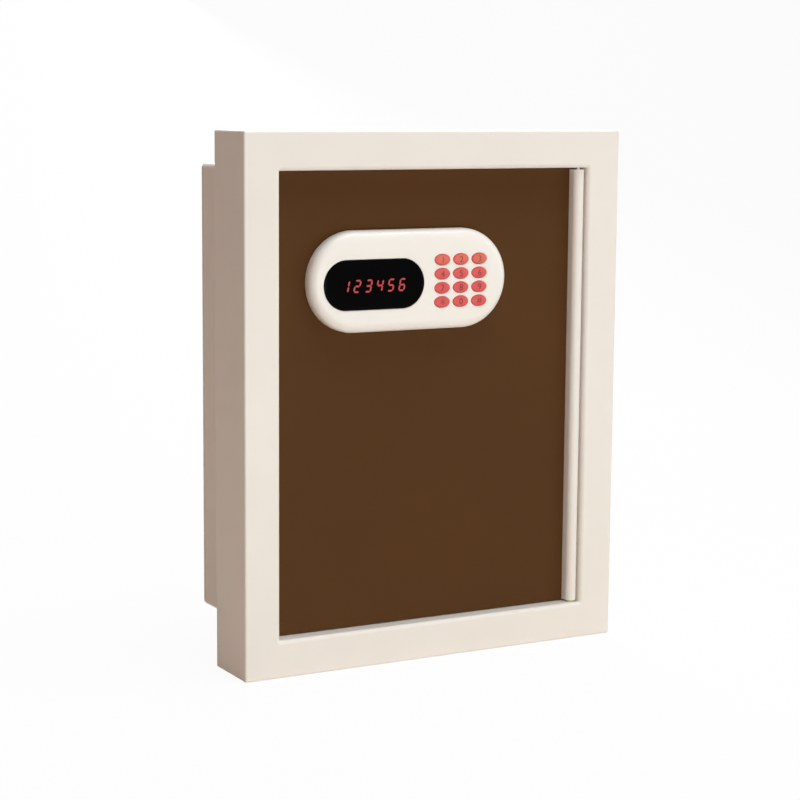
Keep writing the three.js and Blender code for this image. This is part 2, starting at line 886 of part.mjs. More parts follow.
function boltBar() {
  const halfZ = boltPitch / 2 + barOverhang;
  const spineBack = boltY + boltRadius;
  const spine = block(barLeft, barRight, rackY, spineBack, -halfZ, halfZ);
  const holes = [-1, 1].map((sign) => (
    rodX(spigotRadius + seatGap, barLeft - through, barRight + through, boltY, sign * boltPitch / 2)
  ));
  const armRight = gearX + boltThrow + rackMargin;
  const teethLeft = gearX - rackMargin;
  const arm = block(barLeft, teethLeft + weld, rackY, rackEndY, rackRoot - rackHeight, rackRoot);
  return join(cut(spine, ...holes), arm, prismY(rackOutline(teethLeft, armRight), rackY, rackEndY));
}

// A folded guide: a base on the leaf and two round-topped cheeks that the bolt runs through
function boltGuide(sign) {
  const z = sign * boltPitch / 2;
  const half = boltRadius + seatGap + guideWall;
  const left = coverLeft + coverWall + guideStandoff;
  const right = left + guideWidth;
  const cheek = new THREE.Shape();
  cheek.moveTo(lockPlateY, z - half);
  cheek.lineTo(boltY, z - half);
  cheek.absarc(boltY, z, half, -Math.PI / 2, Math.PI / 2, false);
  cheek.lineTo(lockPlateY, z + half);
  return cut(
    join(
      prismX(cheek, left, left + guideSheet, 6),
      prismX(cheek, right - guideSheet, right, 6),
      block(left + weld, right - weld, lockPlateY, lockPlateY + guideBase, z - half, z + half),
    ),
    rodX(boltRadius + seatGap, left - through, right + through, boltY, z),
  );
}

// A spur gear's outline, with involute flanks and a tooth pointing along -Z at phase 0
function gearOutline(module, teeth, phase) {
  const pitchRadius = module * teeth / 2;
  const baseRadius = pitchRadius * Math.cos(pressureAngle);
  const rootRadius = pitchRadius - dedendum * module;
  const tipRadius = pitchRadius + module;
  const involute = (angle) => Math.tan(angle) - angle;
  const halfTooth = Math.PI / (2 * teeth) - backlash / (4 * pitchRadius);
  const flankAngle = (radius) => {
    const touch = Math.acos(Math.min(1, baseRadius / Math.max(radius, baseRadius)));
    return halfTooth + involute(pressureAngle) - involute(touch);
  };
  const radii = [rootRadius, pitchRadius, tipRadius];
  const points = [];
  for (let tooth = 0; tooth < teeth; tooth += 1) {
    const centre = -Math.PI / 2 + 2 * Math.PI * (tooth + phase) / teeth;
    const rising = radii.map((radius) => [radius, centre - flankAngle(radius)]);
    const falling = radii.map((radius) => [radius, centre + flankAngle(radius)]).reverse();
    for (const [radius, angle] of [...rising, ...falling]) {
      points.push([radius * Math.cos(angle), radius * Math.sin(angle)]);
    }
  }
  return polygon(points);
}

function driveGear() {
  const wheel = prismY(gearOutline(wheelModule, wheelTeeth, 0), wheelY, wheelY + wheelWidth);
  const pinion = prismY(gearOutline(rackModule, pinionTeeth, 0), wheelY + wheelWidth - weld, rackEndY);
  const placed = [wheel, pinion].map((geometry) => geometry.translate(gearX, 0, gearZ));
  const hub = rodY(gearHub, gearSeatY, wheelY + weld, gearX, gearZ);
  const bore = rodY(axleRadius + seatGap, gearSeatY - through, rackEndY + through, gearX, gearZ);
  return cut(join(...placed, hub), bore);
}

function gearAxle() {
  const headY = rackEndY + seatGap;
  return join(
    rodY(axleRadius, lockPlateY, headY + weld, gearX, gearZ),
    rodY(axleHead, headY, headY + axleHeadThickness, gearX, gearZ),
  );
}

function lockPlate() {
  const plate = block(
    gearX - lockPlateMarginX,
    gearX + lockPlateMarginX,
    lockPlateY,
    lockPlateY + lockPlateThickness,
    -lockPlateMarginZ,
    motorZ + lockPlateMarginZ,
  );
  return cut(plate, rodY(axleRadius + seatGap, lockPlateY - through, gearSeatY + through, gearX, gearZ));
}

function motorPinion() {
  const teeth = prismY(gearOutline(wheelModule, motorPinionTeeth, 0.5), wheelY, wheelY + wheelWidth);
  const shaft = rodY(motorShaft, gearSeatY, motorFrontY + shaftEngagement, gearX, motorZ, 16);
  return join(teeth.translate(gearX, 0, motorZ), shaft);
}

function gearMotor() {
  const canFront = motorFrontY + gearboxLength;
  const backY = motorFrontY + motorLength;
  const halfX = gearboxWidth / 2;
  const halfZ = gearboxHeight / 2;
  const gearbox = block(gearX - halfX, gearX + halfX, motorFrontY, canFront, motorZ - halfZ, motorZ + halfZ);
  const flats = block(
    gearX - gearboxWidth,
    gearX + gearboxWidth,
    canFront - through,
    backY + through,
    motorZ - halfZ,
    motorZ + halfZ,
  );
  const can = clip(rodY(gearboxWidth / 2, canFront - weld, backY, gearX, motorZ, 32), flats);
  const boreEnd = motorFrontY + shaftEngagement + seatGap;
  const bore = rodY(motorShaft + seatGap, motorFrontY - through, boreEnd, gearX, motorZ, 16);
  return cut(join(gearbox, can), bore);
}

// A strap bent over the gearbox, with two feet on the lock plate
function motorBracket() {
  const inner = gearboxWidth / 2 + seatGap;
  const outer = inner + bracketSheet;
  const low = motorZ - gearboxHeight / 2 + bracketLift;
  const roof = motorZ + gearboxHeight / 2 + seatGap;
  const endY = motorFrontY + gearboxLength;
  const foot = gearSeatY + bracketFootThickness;
  const pieces = [];
  for (const sign of [-1, 1]) {
    const [wall0, wall1] = [gearX + sign * inner, gearX + sign * outer].sort((a, b) => a - b);
    const toe = gearX + sign * (outer + bracketFoot);
    const [foot0, foot1] = [gearX + sign * (inner + weld), toe].sort((a, b) => a - b);
    pieces.push(block(wall0, wall1, gearSeatY, endY, low, roof + bracketSheet));
    pieces.push(block(foot0, foot1, gearSeatY, foot, low, roof + bracketSheet));
  }
  const roofHalf = outer - weld;
  const roofTop = roof + bracketSheet;
  pieces.push(block(gearX - roofHalf, gearX + roofHalf, motorFrontY, endY, roof, roofTop));
  return join(...pieces);
}

// Battery box under the cover, open towards the safe's inside
function batteryBox() {
  const outerX = batteryHalfX + batteryWall;
  const outerZ = batteryHalfZ + batteryWall;
  const floorY = batteryFloorY - batteryWall;
  const tray = block(
    batteryX - outerX,
    batteryX + outerX,
    floorY,
    batteryRimY,
    batteryZ - outerZ,
    batteryZ + outerZ,
  );
  const flange = block(
    batteryX - outerX - batteryFlange,
    batteryX + outerX + batteryFlange,
    batteryRimY - batteryWall,
    batteryRimY,
    batteryZ - outerZ - batteryFlange,
    batteryZ + outerZ + batteryFlange,
  );
  const hollow = block(
    batteryX - batteryHalfX,
    batteryX + batteryHalfX,
    batteryFloorY,
    batteryRimY + through,
    batteryZ - batteryHalfZ,
    batteryZ + batteryHalfZ,
  );
  return cut(join(tray, flange), hollow);
}

function cell(order) {
  const direction = order % 2 === 0 ? 1 : -1;
  const z = batteryZ + (order - (cellCount - 1) / 2) * cellPitch;
  const y = batteryFloorY + seatGap + cellRadius;
  const half = (cellLength + cellNub) / 2;
  const profile = [
    [0, -half],
    [cellRadius, -half],
    [cellRadius, -half + cellLength - cellChamfer],
    [cellRadius - cellChamfer, -half + cellLength],
    [cellNubRadius, -half + cellLength],
    [cellNubRadius, half],
    [0, half],
  ];
  return turned(profile, 16).rotateZ(-direction * Math.PI / 2).translate(batteryX, y, z);
}

function batteryLid() {
  const plate = block(
    batteryX - lidHalfX,
    batteryX + lidHalfX,
    lidY,
    lidTopY,
    batteryZ - lidHalfZ,
    batteryZ + lidHalfZ,
  );
  const ribs = [];
  const ribHalf = lidRibLength / 2;
  for (let rib = 0; rib < lidRibs; rib += 1) {
    const x = batteryX + lidHalfX - (rib + 1) * lidRibPitch;
    const top = lidTopY + lidRibHeight;
    ribs.push(block(x - lidRibWidth, x, lidTopY - weld, top, batteryZ - ribHalf, batteryZ + ribHalf));
  }
  return join(plate, ...ribs);
}

// A rail on the cover that holds the lid's upper (+1) or lower (-1) edge
function lidRail(sign) {
  const edge = batteryZ + sign * (lidHalfZ + seatGap);
  const outside = edge + sign * railWall;
  const over = edge - sign * railLip;
  const lipY = lidTopY + seatGap;
  const points = [
    [coverOuterY - weld, edge],
    [lipY, edge],
    [lipY, over],
    [lipY + railThickness, over],
    [lipY + railThickness, outside],
    [coverOuterY - weld, outside],
  ];
  return prismX(polygon(sign > 0 ? points.reverse() : points), batteryX - lidHalfX, batteryX + lidHalfX);
}

function backCover() {
  const tray = roundedRectangle(coverLeft, coverRight, -coverHalfHeight, coverHalfHeight, coverCorner);
  const hollow = roundedRectangle(
    coverLeft + coverWall,
    coverRight - coverWall,
    -coverHalfHeight + coverWall,
    coverHalfHeight - coverWall,
    coverCorner - coverWall,
  );
  const shell = cut(
    prismY(tray, lockPlateY, coverOuterY, 4),
    prismY(hollow, lockPlateY - through, coverInnerY, 4),
  );
  const boss = screwRadius + seatGap + bossWall;
  const bosses = screwPlaces.map(([x, z]) => rodY(boss, lockPlateY, coverInnerY + weld, x, z));
  const holes = screwPlaces.map(([x, z]) => (
    rodY(screwRadius + seatGap, lockPlateY - through, coverOuterY + through, x, z, 16)
  ));
  const boltHoles = [-1, 1].map((sign) => (
    rodX(
      boltRadius + strikeClearance,
      coverLeft - through,
      coverLeft + coverWall + through,
      boltY,
      sign * boltPitch / 2,
    )
  ));
  const batteryHole = block(
    batteryX - batteryHalfX,
    batteryX + batteryHalfX,
    coverInnerY - through,
    coverOuterY + through,
    batteryZ - batteryHalfZ,
    batteryZ + batteryHalfZ,
  );
  const resetHole = rodY(resetRadius + seatGap, coverInnerY - through, coverOuterY + through, resetX, resetZ);
  const drilled = cut(join(shell, ...bosses), ...holes, ...boltHoles, batteryHole, resetHole);
  return join(drilled, lidRail(1), lidRail(-1));
}

function coverScrew(order) {
  const [x, z] = screwPlaces[order];
  const seat = coverOuterY + seatGap;
  const shankEnd = leafBackY - leafThickness / 2;
  const profile = [
    [0, shankEnd],
    [screwRadius, shankEnd],
    [screwRadius, seat],
    [screwHead, seat],
    [screwHead, seat + screwHeadSide],
    [screwHeadTop, seat + screwHeadHeight - screwHeadDome],
    [0, seat + screwHeadHeight],
  ];
  const slot = block(
    x - screwHead,
    x + screwHead,
    seat + screwHeadHeight - screwSlotDepth,
    seat + screwHeadHeight + through,
    z - screwSlotWidth / 2,
    z + screwSlotWidth / 2,
  );
  return cut(turned(profile, 16).translate(x, 0, z), slot);
}

// Control board on four standoffs, with a chip, the cable's socket and the switch under the reset button
function controlBoard() {
  const halfX = controlWidth / 2;
  const halfZ = controlHeight / 2;
  const back = controlY + boardThickness;
  const board = block(
    controlX - halfX,
    controlX + halfX,
    controlY,
    back,
    controlZ - halfZ,
    controlZ + halfZ,
  );
  const standoffs = [];
  for (const signX of [-1, 1]) {
    for (const signZ of [-1, 1]) {
      const x = controlX + signX * (halfX - 2 * standoffRadius);
      const z = controlZ + signZ * (halfZ - 2 * standoffRadius);
      standoffs.push(rodY(standoffRadius, lockPlateY, controlY + weld, x, z, 12));
    }
  }
  const chip = block(
    controlX - chipWidth / 2,
    controlX + chipWidth / 2,
    back - weld,
    back + chipThickness,
    controlZ - chipWidth / 2,
    controlZ + chipWidth / 2,
  );
  const socketZ = controlZ - cableDrop / 2;
  const socketHalf = cableWidth / 2 + cableSlotMargin;
  const socket = block(
    cableX - socketHalf,
    cableX + socketHalf,
    controlY - socketDepth,
    controlY + weld,
    socketZ - socketDepth,
    socketZ + socketDepth,
  );
  const switchBack = resetBackY() - resetTravel - seatGap;
  const resetSwitch = rodY(resetRadius, back - weld, switchBack, resetX, resetZ, 16);
  return join(board, ...standoffs, chip, socket, resetSwitch);
}

// The flat cable from the keypad's board through the door to the control board, in one easy bend
function ribbonCable() {
  const startY = boardBackY + seatGap;
  const endY = controlY - socketDepth - seatGap;
  const steps = 10;
  const upper = [];
  const lower = [];
  for (let step = 0; step <= steps; step += 1) {
    const along = step / steps;
    const eased = along * along * (3 - 2 * along);
    const y = startY + (endY - startY) * along;
    const z = controlZ + cableDrop / 2 - cableDrop * eased;
    const steepness = 1.5 * cableDrop * 4 * along * (1 - along) / (endY - startY);
    const half = cableThickness / 2 * Math.hypot(1, steepness);
    upper.push([y, z + half]);
    lower.push([y, z - half]);
  }
  const section = polygon([...lower, ...upper.reverse()]);
  return prismX(section, cableX - cableWidth / 2, cableX + cableWidth / 2);
}

function resetBackY() {
  return coverInnerY - seatGap - resetFlangeThickness;
}

function resetButton() {
  const profile = [
    [0, resetBackY()],
    [resetRadius + resetFlange, resetBackY()],
    [resetRadius + resetFlange, coverInnerY - seatGap],
    [resetRadius, coverInnerY - seatGap],
    [resetRadius, coverOuterY + resetProud],
    [resetRadius - resetChamfer, coverOuterY + resetProud + resetChamfer],
    [0, coverOuterY + resetProud + resetChamfer],
  ];
  return turned(profile, 20).translate(resetX, 0, resetZ);
}

// Finishes
function finish(color, roughness, metalness) {
  return new THREE.MeshStandardMaterial({ color, roughness, metalness });
}

const creamPaint = finish(0xece3da, 0.5, 0.1);
const brownFace = finish(0x54371e, 0.55, 0);
const creamPlastic = finish(0xf0e8e0, 0.4, 0);
const blackWindow = finish(0x060606, 0.12, 0);
const redRubber = finish(0xe4645a, 0.5, 0);
const darkRubber = finish(0x2b2b2b, 0.85, 0);
const zincSteel = finish(0xb4b6b8, 0.35, 0.85);
const brass = finish(0xb08d4a, 0.35, 0.9);
const boardGreen = finish(0x1e5a3a, 0.5, 0);
const blackPlastic = finish(0x1d1d1f, 0.5, 0);
const cellJacket = finish(0x3a3f46, 0.35, 0.3);
const greyFelt = finish(0x4a4744, 0.95, 0);
const whiteNylon = finish(0xe8e6e0, 0.45, 0);
const greyCable = finish(0x9aa0a6, 0.6, 0);

function part(name, geometry, material) {
  const mesh = new THREE.Mesh(geometry, material);
  mesh.name = name;
  return mesh;
}

// Assembly
const safeBody = new THREE.Group();
safeBody.add(
  part('front_frame', frontFrame(), creamPaint),
  part('inner_box', innerBox(), creamPaint),
  part('back_panel', backPanel(), creamPaint),
  part('pivot_bush_top', pivotBush(1), brass),
  part('pivot_bush_bottom', pivotBush(-1), brass),
  part('thrust_washer', thrustWasher(), whiteNylon),
  part('strike_plate', strikePlate(), zincSteel),
  part('door_stop_top', doorStop(1), creamPaint),
  part('door_stop_bottom', doorStop(-1), creamPaint),
  part('floor_mat', floorMat(), greyFelt),
);

const door = new THREE.Group();
door.add(
  part('door_leaf', doorLeaf(), creamPaint),
  part('door_facing', doorFacing(), brownFace),
  part('hinge_stile', hingeStile(), creamPaint),
  part('pivot_pin_top', pivotPin(1), zincSteel),
  part('pivot_pin_bottom', pivotPin(-1), zincSteel),
  part('keypad_housing', keypadHousing(), creamPlastic),
  part('display_window', displayWindow(), blackWindow),
  part('display_module', displayModule(), blackPlastic),
  part('keypad_board', keypadBoard(), boardGreen),
  part('key_mat', keyMat(), darkRubber),
  part('bolt_guide_upper', boltGuide(1), zincSteel),
  part('bolt_guide_lower', boltGuide(-1), zincSteel),
  part('lock_plate', lockPlate(), zincSteel),
  part('gear_axle', gearAxle(), zincSteel),
  part('gear_motor', gearMotor(), zincSteel),
  part('motor_bracket', motorBracket(), zincSteel),
  part('control_board', controlBoard(), boardGreen),
  part('ribbon_cable', ribbonCable(), greyCable),
  part('battery_box', batteryBox(), blackPlastic),
  part('back_cover', backCover(), creamPaint),
);
for (let order = 0; order < cellCount; order += 1) {
  door.add(part(`battery_${order + 1}`, cell(order), cellJacket));
}
screwPlaces.forEach((place, order) => {
  door.add(part(`cover_screw_${order + 1}`, coverScrew(order), zincSteel));
});

const bolts = new THREE.Group();
bolts.add(
  part('bolt_bar', boltBar(), zincSteel),
  part('bolt_upper', bolt(1), zincSteel),
  part('bolt_lower', bolt(-1), zincSteel),
);

const keys = new THREE.Group();
keyNames.forEach((name, order) => {
  keys.add(part(`key_${name}`, key(order), redRubber));
});

door.add(
  bolts,
  keys,
  part('drive_gear', driveGear(), whiteNylon),
  part('motor_pinion', motorPinion(), brass),
  part('battery_lid', batteryLid(), creamPaint),
  part('reset_button', resetButton(), redRubber),
);

const safe = new THREE.Group();
safe.add(safeBody, door);

export default safe;
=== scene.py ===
"""The looks of a hotel wall safe: finishes, fine meshes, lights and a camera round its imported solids.

Every size is in metres, in the frame of the solids: X runs right, Y into the wall and Z up, the origin is
the centre of the back panel's rear face, and the door is closed.
"""

import json
import math

import bmesh
import bpy
from bpy.props import FloatProperty, FloatVectorProperty, IntProperty, PointerProperty
from mathutils import Matrix, Vector
from mathutils.geometry import delaunay_2d_cdt

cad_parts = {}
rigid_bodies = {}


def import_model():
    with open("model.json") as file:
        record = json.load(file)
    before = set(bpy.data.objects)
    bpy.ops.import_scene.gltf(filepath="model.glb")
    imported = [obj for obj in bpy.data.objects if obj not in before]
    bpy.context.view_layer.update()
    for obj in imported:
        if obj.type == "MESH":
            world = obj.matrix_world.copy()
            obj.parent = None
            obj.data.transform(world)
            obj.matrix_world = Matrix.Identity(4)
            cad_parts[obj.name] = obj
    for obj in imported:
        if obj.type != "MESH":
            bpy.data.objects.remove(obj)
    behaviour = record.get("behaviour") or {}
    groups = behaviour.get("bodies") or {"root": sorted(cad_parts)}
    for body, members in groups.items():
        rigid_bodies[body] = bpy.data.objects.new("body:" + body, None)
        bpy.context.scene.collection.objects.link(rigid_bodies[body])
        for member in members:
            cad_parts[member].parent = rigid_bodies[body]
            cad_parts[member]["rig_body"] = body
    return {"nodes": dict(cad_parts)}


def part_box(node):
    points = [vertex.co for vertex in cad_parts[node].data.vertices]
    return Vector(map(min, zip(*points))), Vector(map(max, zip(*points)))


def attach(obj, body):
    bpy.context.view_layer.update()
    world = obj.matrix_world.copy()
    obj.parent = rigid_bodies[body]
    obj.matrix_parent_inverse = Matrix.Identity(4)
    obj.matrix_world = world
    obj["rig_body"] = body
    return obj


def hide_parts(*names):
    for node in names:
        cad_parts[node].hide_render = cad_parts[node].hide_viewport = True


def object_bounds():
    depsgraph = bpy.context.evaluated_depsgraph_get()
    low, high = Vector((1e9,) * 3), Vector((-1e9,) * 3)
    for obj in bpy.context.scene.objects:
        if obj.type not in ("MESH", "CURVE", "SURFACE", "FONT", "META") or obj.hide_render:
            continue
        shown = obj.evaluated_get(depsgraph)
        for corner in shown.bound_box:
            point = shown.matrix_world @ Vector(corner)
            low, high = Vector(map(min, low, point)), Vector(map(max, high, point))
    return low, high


bl_info = {
    "name": "Hotel wall safe",
    "version": (1, 0, 0),
    "blender": (4, 5, 0),
    "location": "3D View > Sidebar > Hotel safe",
    "description": "Builds the finishes and fine meshes of a hotel wall safe round its solids",
    "category": "Object",
}

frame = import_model()
cad_low, cad_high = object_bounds()

# The record's finish of each solid, whose plain imported material gives way to the ones below
slots = {name: node.data.materials[0].name for name, node in frame["nodes"].items()}
for plain in {node.data.materials[0] for node in frame["nodes"].values()}:
    bpy.data.materials.remove(plain)

MM = 0.001

# Points nearer than this are one, and a fill's own points nearer than the second are
TINY = 1e-6
FILL_TINY = 1e-7

# Radius of the little ring that ends a turned solid on its axis
TIP = 0.01 * MM

# Radius of the frame's tightest bends
LEAST_BEND = 0.2 * MM

# Edges that turn by more than this are shaded as edges
SHARP = math.radians(35)

# Signs of X and Z in a rectangle's corners, in order round it
CORNERS = ((1, 1), (-1, 1), (-1, -1), (1, -1))


def colour_property(name, description, default):
    return FloatVectorProperty(
        name=name, description=description, subtype="COLOR_GAMMA", size=3, min=0, max=1, default=default
    )


def length_property(name, description, default):
    return FloatProperty(
        name=name, description=description, subtype="DISTANCE", unit="LENGTH", default=default
    )


def angle_property(name, description, degrees):
    return FloatProperty(name=name, description=description, subtype="ANGLE", default=math.radians(degrees))


def watts_property(name, default):
    return FloatProperty(name=name, description="Strength of the lamp", unit="POWER", default=default)


def place_property(name, default, description="From the safe's middle"):
    return FloatVectorProperty(
        name=name, description=description, subtype="TRANSLATION", size=3, default=default
    )


class SafeColours(bpy.types.PropertyGroup):
    """Colours of the finishes, as a screen shows them"""

    cream: colour_property("Cream coat", "Powder coat of the frame, box and strip", (0.927, 0.893, 0.861))
    brown: colour_property("Brown face", "Matt coat of the door's face", (0.328, 0.210, 0.106))
    shell: colour_property("Keypad shell", "Moulded shell of the keypad", (0.952, 0.925, 0.896))
    window: colour_property("Window", "Gloss face of the display", (0.010, 0.008, 0.008))
    digit: colour_property("Lit digits", "Light of the display's digits", (0.760, 0.085, 0.115))
    key_low: colour_property("Lower keys", "Middle of the lower keys", (0.835, 0.300, 0.285))
    key_high: colour_property("Upper keys", "Middle of the upper keys", (0.850, 0.445, 0.325))
    key_rim: colour_property("Key rims", "Rim of every key", (0.880, 0.260, 0.255))
    figure: colour_property("Key figures", "Figures printed on the keys", (0.440, 0.055, 0.075))
    steel: colour_property("Zinc steel", "Bolts, keeper and other plated steel", (0.660, 0.668, 0.676))
    brass: colour_property("Brass", "Pivot bushes and the motor's pinion", (0.770, 0.700, 0.560))
    felt: colour_property("Floor mat", "Felt on the safe's floor", (0.300, 0.285, 0.275))


class SafeFrame(bpy.types.PropertyGroup):
    """Sizes of the folded frame's sheet"""

    sheet: length_property("Sheet", "Thickness of the sheet", 2 * MM)
    border: length_property("Border", "Width of the flat border", 35.5 * MM)
    outer_bend: length_property("Outer bend", "Outside radius of the outer fold", 2 * MM)
    lip_bend: length_property("Lip bend", "Outside radius of the fold into the opening", 4 * MM)
    return_depth: length_property("Return", "Depth of the fold into the opening", 22 * MM)
    corner: length_property("Opening corner", "Radius of the opening's corners", 1 * MM)
    strip_fold: length_property("Strip fold", "Radius of the solid strip's folds", 3 * MM)
    strip_bend: length_property("Strip bend", "Radius of the strip's left fold as it is seen", 6 * MM)
    bend_steps: IntProperty(name="Bend steps", description="Faces across each fold", default=8, min=2)
    edge: length_property("Plate edge", "Broken edge of plates and moulded pieces", 0.35 * MM)


class SafeKeypad(bpy.types.PropertyGroup):
    """Sizes of the keypad's shell and window"""

    wall: length_property("Wall", "Thickness of the shell", 2.5 * MM)
    round_in: length_property("Rounding in", "How far the front edge's rounding reaches in", 9.5 * MM)
    round_back: length_property("Rounding back", "How far the front edge's rounding reaches back", 9.5 * MM)
    crown: length_property("Crown", "How much the front swells from its edge to its middle", 0.6 * MM)
    spacing: length_property("Spacing", "Distance between points on the front", 2.6 * MM)
    hole_gap: length_property("Hole gap", "Gap round the window and the keys", 0.32 * MM)
    edge: length_property("Hole edge", "Broken edge of the openings", 0.4 * MM)
    flange: length_property("Hidden flange", "Flange of the window behind the shell", 2 * MM)
    bevel: length_property("Window bevel", "Width of the window's ground edge", 1.7 * MM)


class SafeDisplay(bpy.types.PropertyGroup):
    """Sizes of the lit digits"""

    height: length_property("Height", "Height of a digit", 12 * MM)
    width: length_property("Width", "Width of a digit between its upright strokes' middles", 5.2 * MM)
    pitch: length_property("Pitch", "Distance from digit to digit", 11.7 * MM)
    stroke: length_property("Stroke", "Width of a stroke", 1.6 * MM)
    depth: length_property("Depth", "Thickness of a stroke", 0.08 * MM)
    slant: angle_property("Slant", "Lean of the digits", 11)
    across: length_property("Across", "How far right of the window's middle the row is", -0.9 * MM)
    up: length_property("Up", "How far above the window's middle the row is", -1 * MM)


class SafeKeys(bpy.types.PropertyGroup):
    """Sizes of the keys and their figures"""

    flange: length_property("Flange", "Hidden flange of a key, on every side", 1 * MM)
    seat: length_property("Seat", "How far a key's cap starts behind the shell's front", 1.6 * MM)
    wall: length_property("Straight side", "How far a cap's side stands out of the shell", 0.3 * MM)
    figure: length_property("Figure", "Height of a figure", 5.8 * MM)
    lift: length_property("Lift", "A figure's print stands 0.8 of this out of its cap", 0.05 * MM)


class SafeStage(bpy.types.PropertyGroup):
    """The lights, the floor and the camera"""

    main_watts: watts_property("Main light", 9.4)
    front_watts: watts_property("Front light", 8.0)
    low_watts: watts_property("Low light", 2.6)
    upper_watts: watts_property("Upper light", 34)
    rear_watts: watts_property("Rear light", 20)
    main_place: place_property("Main light's place", (2.00, -1.45, 0.15))
    front_place: place_property("Front light's place", (-0.16, -1.75, -0.02))
    low_place: place_property("Low light's place", (-0.10, -1.10, -0.18))
    upper_place: place_property("Upper light's place", (0.28, -0.45, 1.90))
    rear_place: place_property("Rear light's place", (0.90, 1.80, 1.00))
    lamp_tone: colour_property("Lamp tone", "Colour of the lamps", (0.925, 0.978, 1.0))
    ambient: colour_property("Surrounding light", "Light from all round", (0.424, 0.304, 0.196))
    floor_tone: colour_property("Floor tone", "Light that the floor throws back", (0.91, 0.84, 0.77))
    floor_white: FloatProperty(
        name="Floor white", description="How far the floor is seen as white", default=0.95, min=0, max=1
    )
    floor_gap: length_property("Floor gap", "How far the floor lies under the safe", 0.2 * MM)
    lens: FloatProperty(name="Lens", description="Focal length in mm", default=94.1)
    sensor: FloatProperty(name="Sensor", description="Width of the camera's picture in mm", default=36)
    yaw: angle_property("Yaw", "Turn of the view to the right", 28.98)
    pitch: angle_property("Pitch", "Lift of the view", -8.23)
    roll: angle_property("Roll", "Turn of the picture", 0.44)
    eye: place_property("Eye", (-0.975, -1.856, 0.280), "Place of the camera")


GROUPS = {
    "safe_colours": SafeColours,
    "safe_frame": SafeFrame,
    "safe_keypad": SafeKeypad,
    "safe_display": SafeDisplay,
    "safe_keys": SafeKeys,
    "safe_stage": SafeStage,
}


def linear(colour):
    """A screen colour as the light that it stands for, with an alpha of 1."""
    parts = [c / 12.92 if c <= 0.04045 else ((c + 0.055) / 1.055) ** 2.4 for c in colour]
    return (*parts, 1.0)


def scaled(colour, factor):
    """A colour made darker or lighter, up to white."""
    return (*(min(c * factor, 1) for c in colour[:3]), 1.0)


def add_node(tree, kind, inputs=(), **settings):
    """A node with its inputs given by name or number, as values or as the outputs of others."""
    node = tree.nodes.new(kind)
    for name, value in settings.items():
        setattr(node, name, value)
    for name, value in dict(inputs).items():
        if isinstance(value, bpy.types.NodeSocket):
            tree.links.new(value, node.inputs[name])
        else:
            node.inputs[name].default_value = value
    return node


# Materials: Principled shaders with colour, roughness and relief from patterns on Object coordinates


class Finish:
    """A material under construction: its tree, its shader and short ways to add nodes."""

    def __init__(self, name, roughness, metallic=0.0):
        self.material = bpy.data.materials.new(name)
        self.material.use_nodes = True
        self.tree = self.material.node_tree
        self.shader = self.tree.nodes["Principled BSDF"]
        self.place = self.node("ShaderNodeTexCoord").outputs["Object"]
        self.set("Roughness", roughness)
        self.set("Metallic", metallic)

    def set(self, socket, value):
        """A constant on the shader's own socket."""
        self.shader.inputs[socket].default_value = value

    def link(self, socket, output):
        """Another node's output on the shader's own socket."""
        self.tree.links.new(output, self.shader.inputs[socket])

    def node(self, kind, inputs=(), **settings):
        """A new node of this tree."""
        return add_node(self.tree, kind, inputs, **settings)

    def noise(self, scale, detail=2.0, stretch=(1, 1, 1)):
        """Noise with so many blots to the metre, drawn out along an axis by a stretch below 1."""
        placed = self.node("ShaderNodeMapping", {"Vector": self.place, "Scale": stretch})
        return self.node(
            "ShaderNodeTexNoise",
            {"Vector": placed.outputs["Vector"], "Scale": scale, "Detail": detail},
        ).outputs[0]

    def spread(self, value, low, high, start=0.3, end=0.7):
        """A value brought from start..end to low..high."""
        return self.node(
            "ShaderNodeMapRange",
            {"Value": value, "From Min": start, "From Max": end, "To Min": low, "To Max": high},
        ).outputs["Result"]

    def mix(self, share, first, second):
        """A colour between two, which are colours or outputs."""
        return self.node("ShaderNodeMix", {0: share, 6: first, 7: second}, data_type="RGBA").outputs[2]

    def shade(self, colour, scale, amount, detail=3.0):
        """The base colour, a little darker and lighter in blots."""
        share = self.spread(self.noise(scale, detail), 0, 1)
        self.link("Base Color", self.mix(share, scaled(colour, 1 - amount), scaled(colour, 1 + amount)))

    def relief(self, height, strength, distance):
        """Relief from a height, under any relief that the shader has already."""
        bump = self.node("ShaderNodeBump", {"Height": height, "Strength": strength, "Distance": distance})
        before = self.shader.inputs["Normal"].links
        if before:
            self.tree.links.new(before[0].from_socket, bump.inputs["Normal"])
        self.link("Normal", bump.outputs["Normal"])

    def gloss(self, scale, low, high, detail=2.0):
        """Roughness that wanders between two values."""
        self.link("Roughness", self.spread(self.noise(scale, detail), low, high))

    def along(self, axis):
        """The place along X, Y or Z."""
        return self.node("ShaderNodeSeparateXYZ", {"Vector": self.place}).outputs[axis]


def colours():
    """The colours that the panel shows."""
    return bpy.context.scene.safe_colours


def cream_paint():
    """Satin powder coat: faint clouds of tone and the skin of an orange."""
    finish = Finish("cream_paint", 0.42)
    finish.shade(linear(colours().cream), scale=14, amount=0.012)
    finish.gloss(60, low=0.38, high=0.46)
    finish.relief(finish.noise(700), strength=0.10, distance=0.10 * MM)
    finish.relief(finish.noise(2600, detail=1.0), strength=0.06, distance=0.04 * MM)
    return finish.material


def brown_face():
    """Matt coat with a fine grain."""
    finish = Finish("brown_face", 0.6)
    finish.set("Specular IOR Level", 0.06)
    finish.shade(linear(colours().brown), scale=9, amount=0.03)
    finish.gloss(90, low=0.56, high=0.66)
    finish.relief(finish.noise(2200, detail=2.0), strength=0.12, distance=0.05 * MM)
    return finish.material


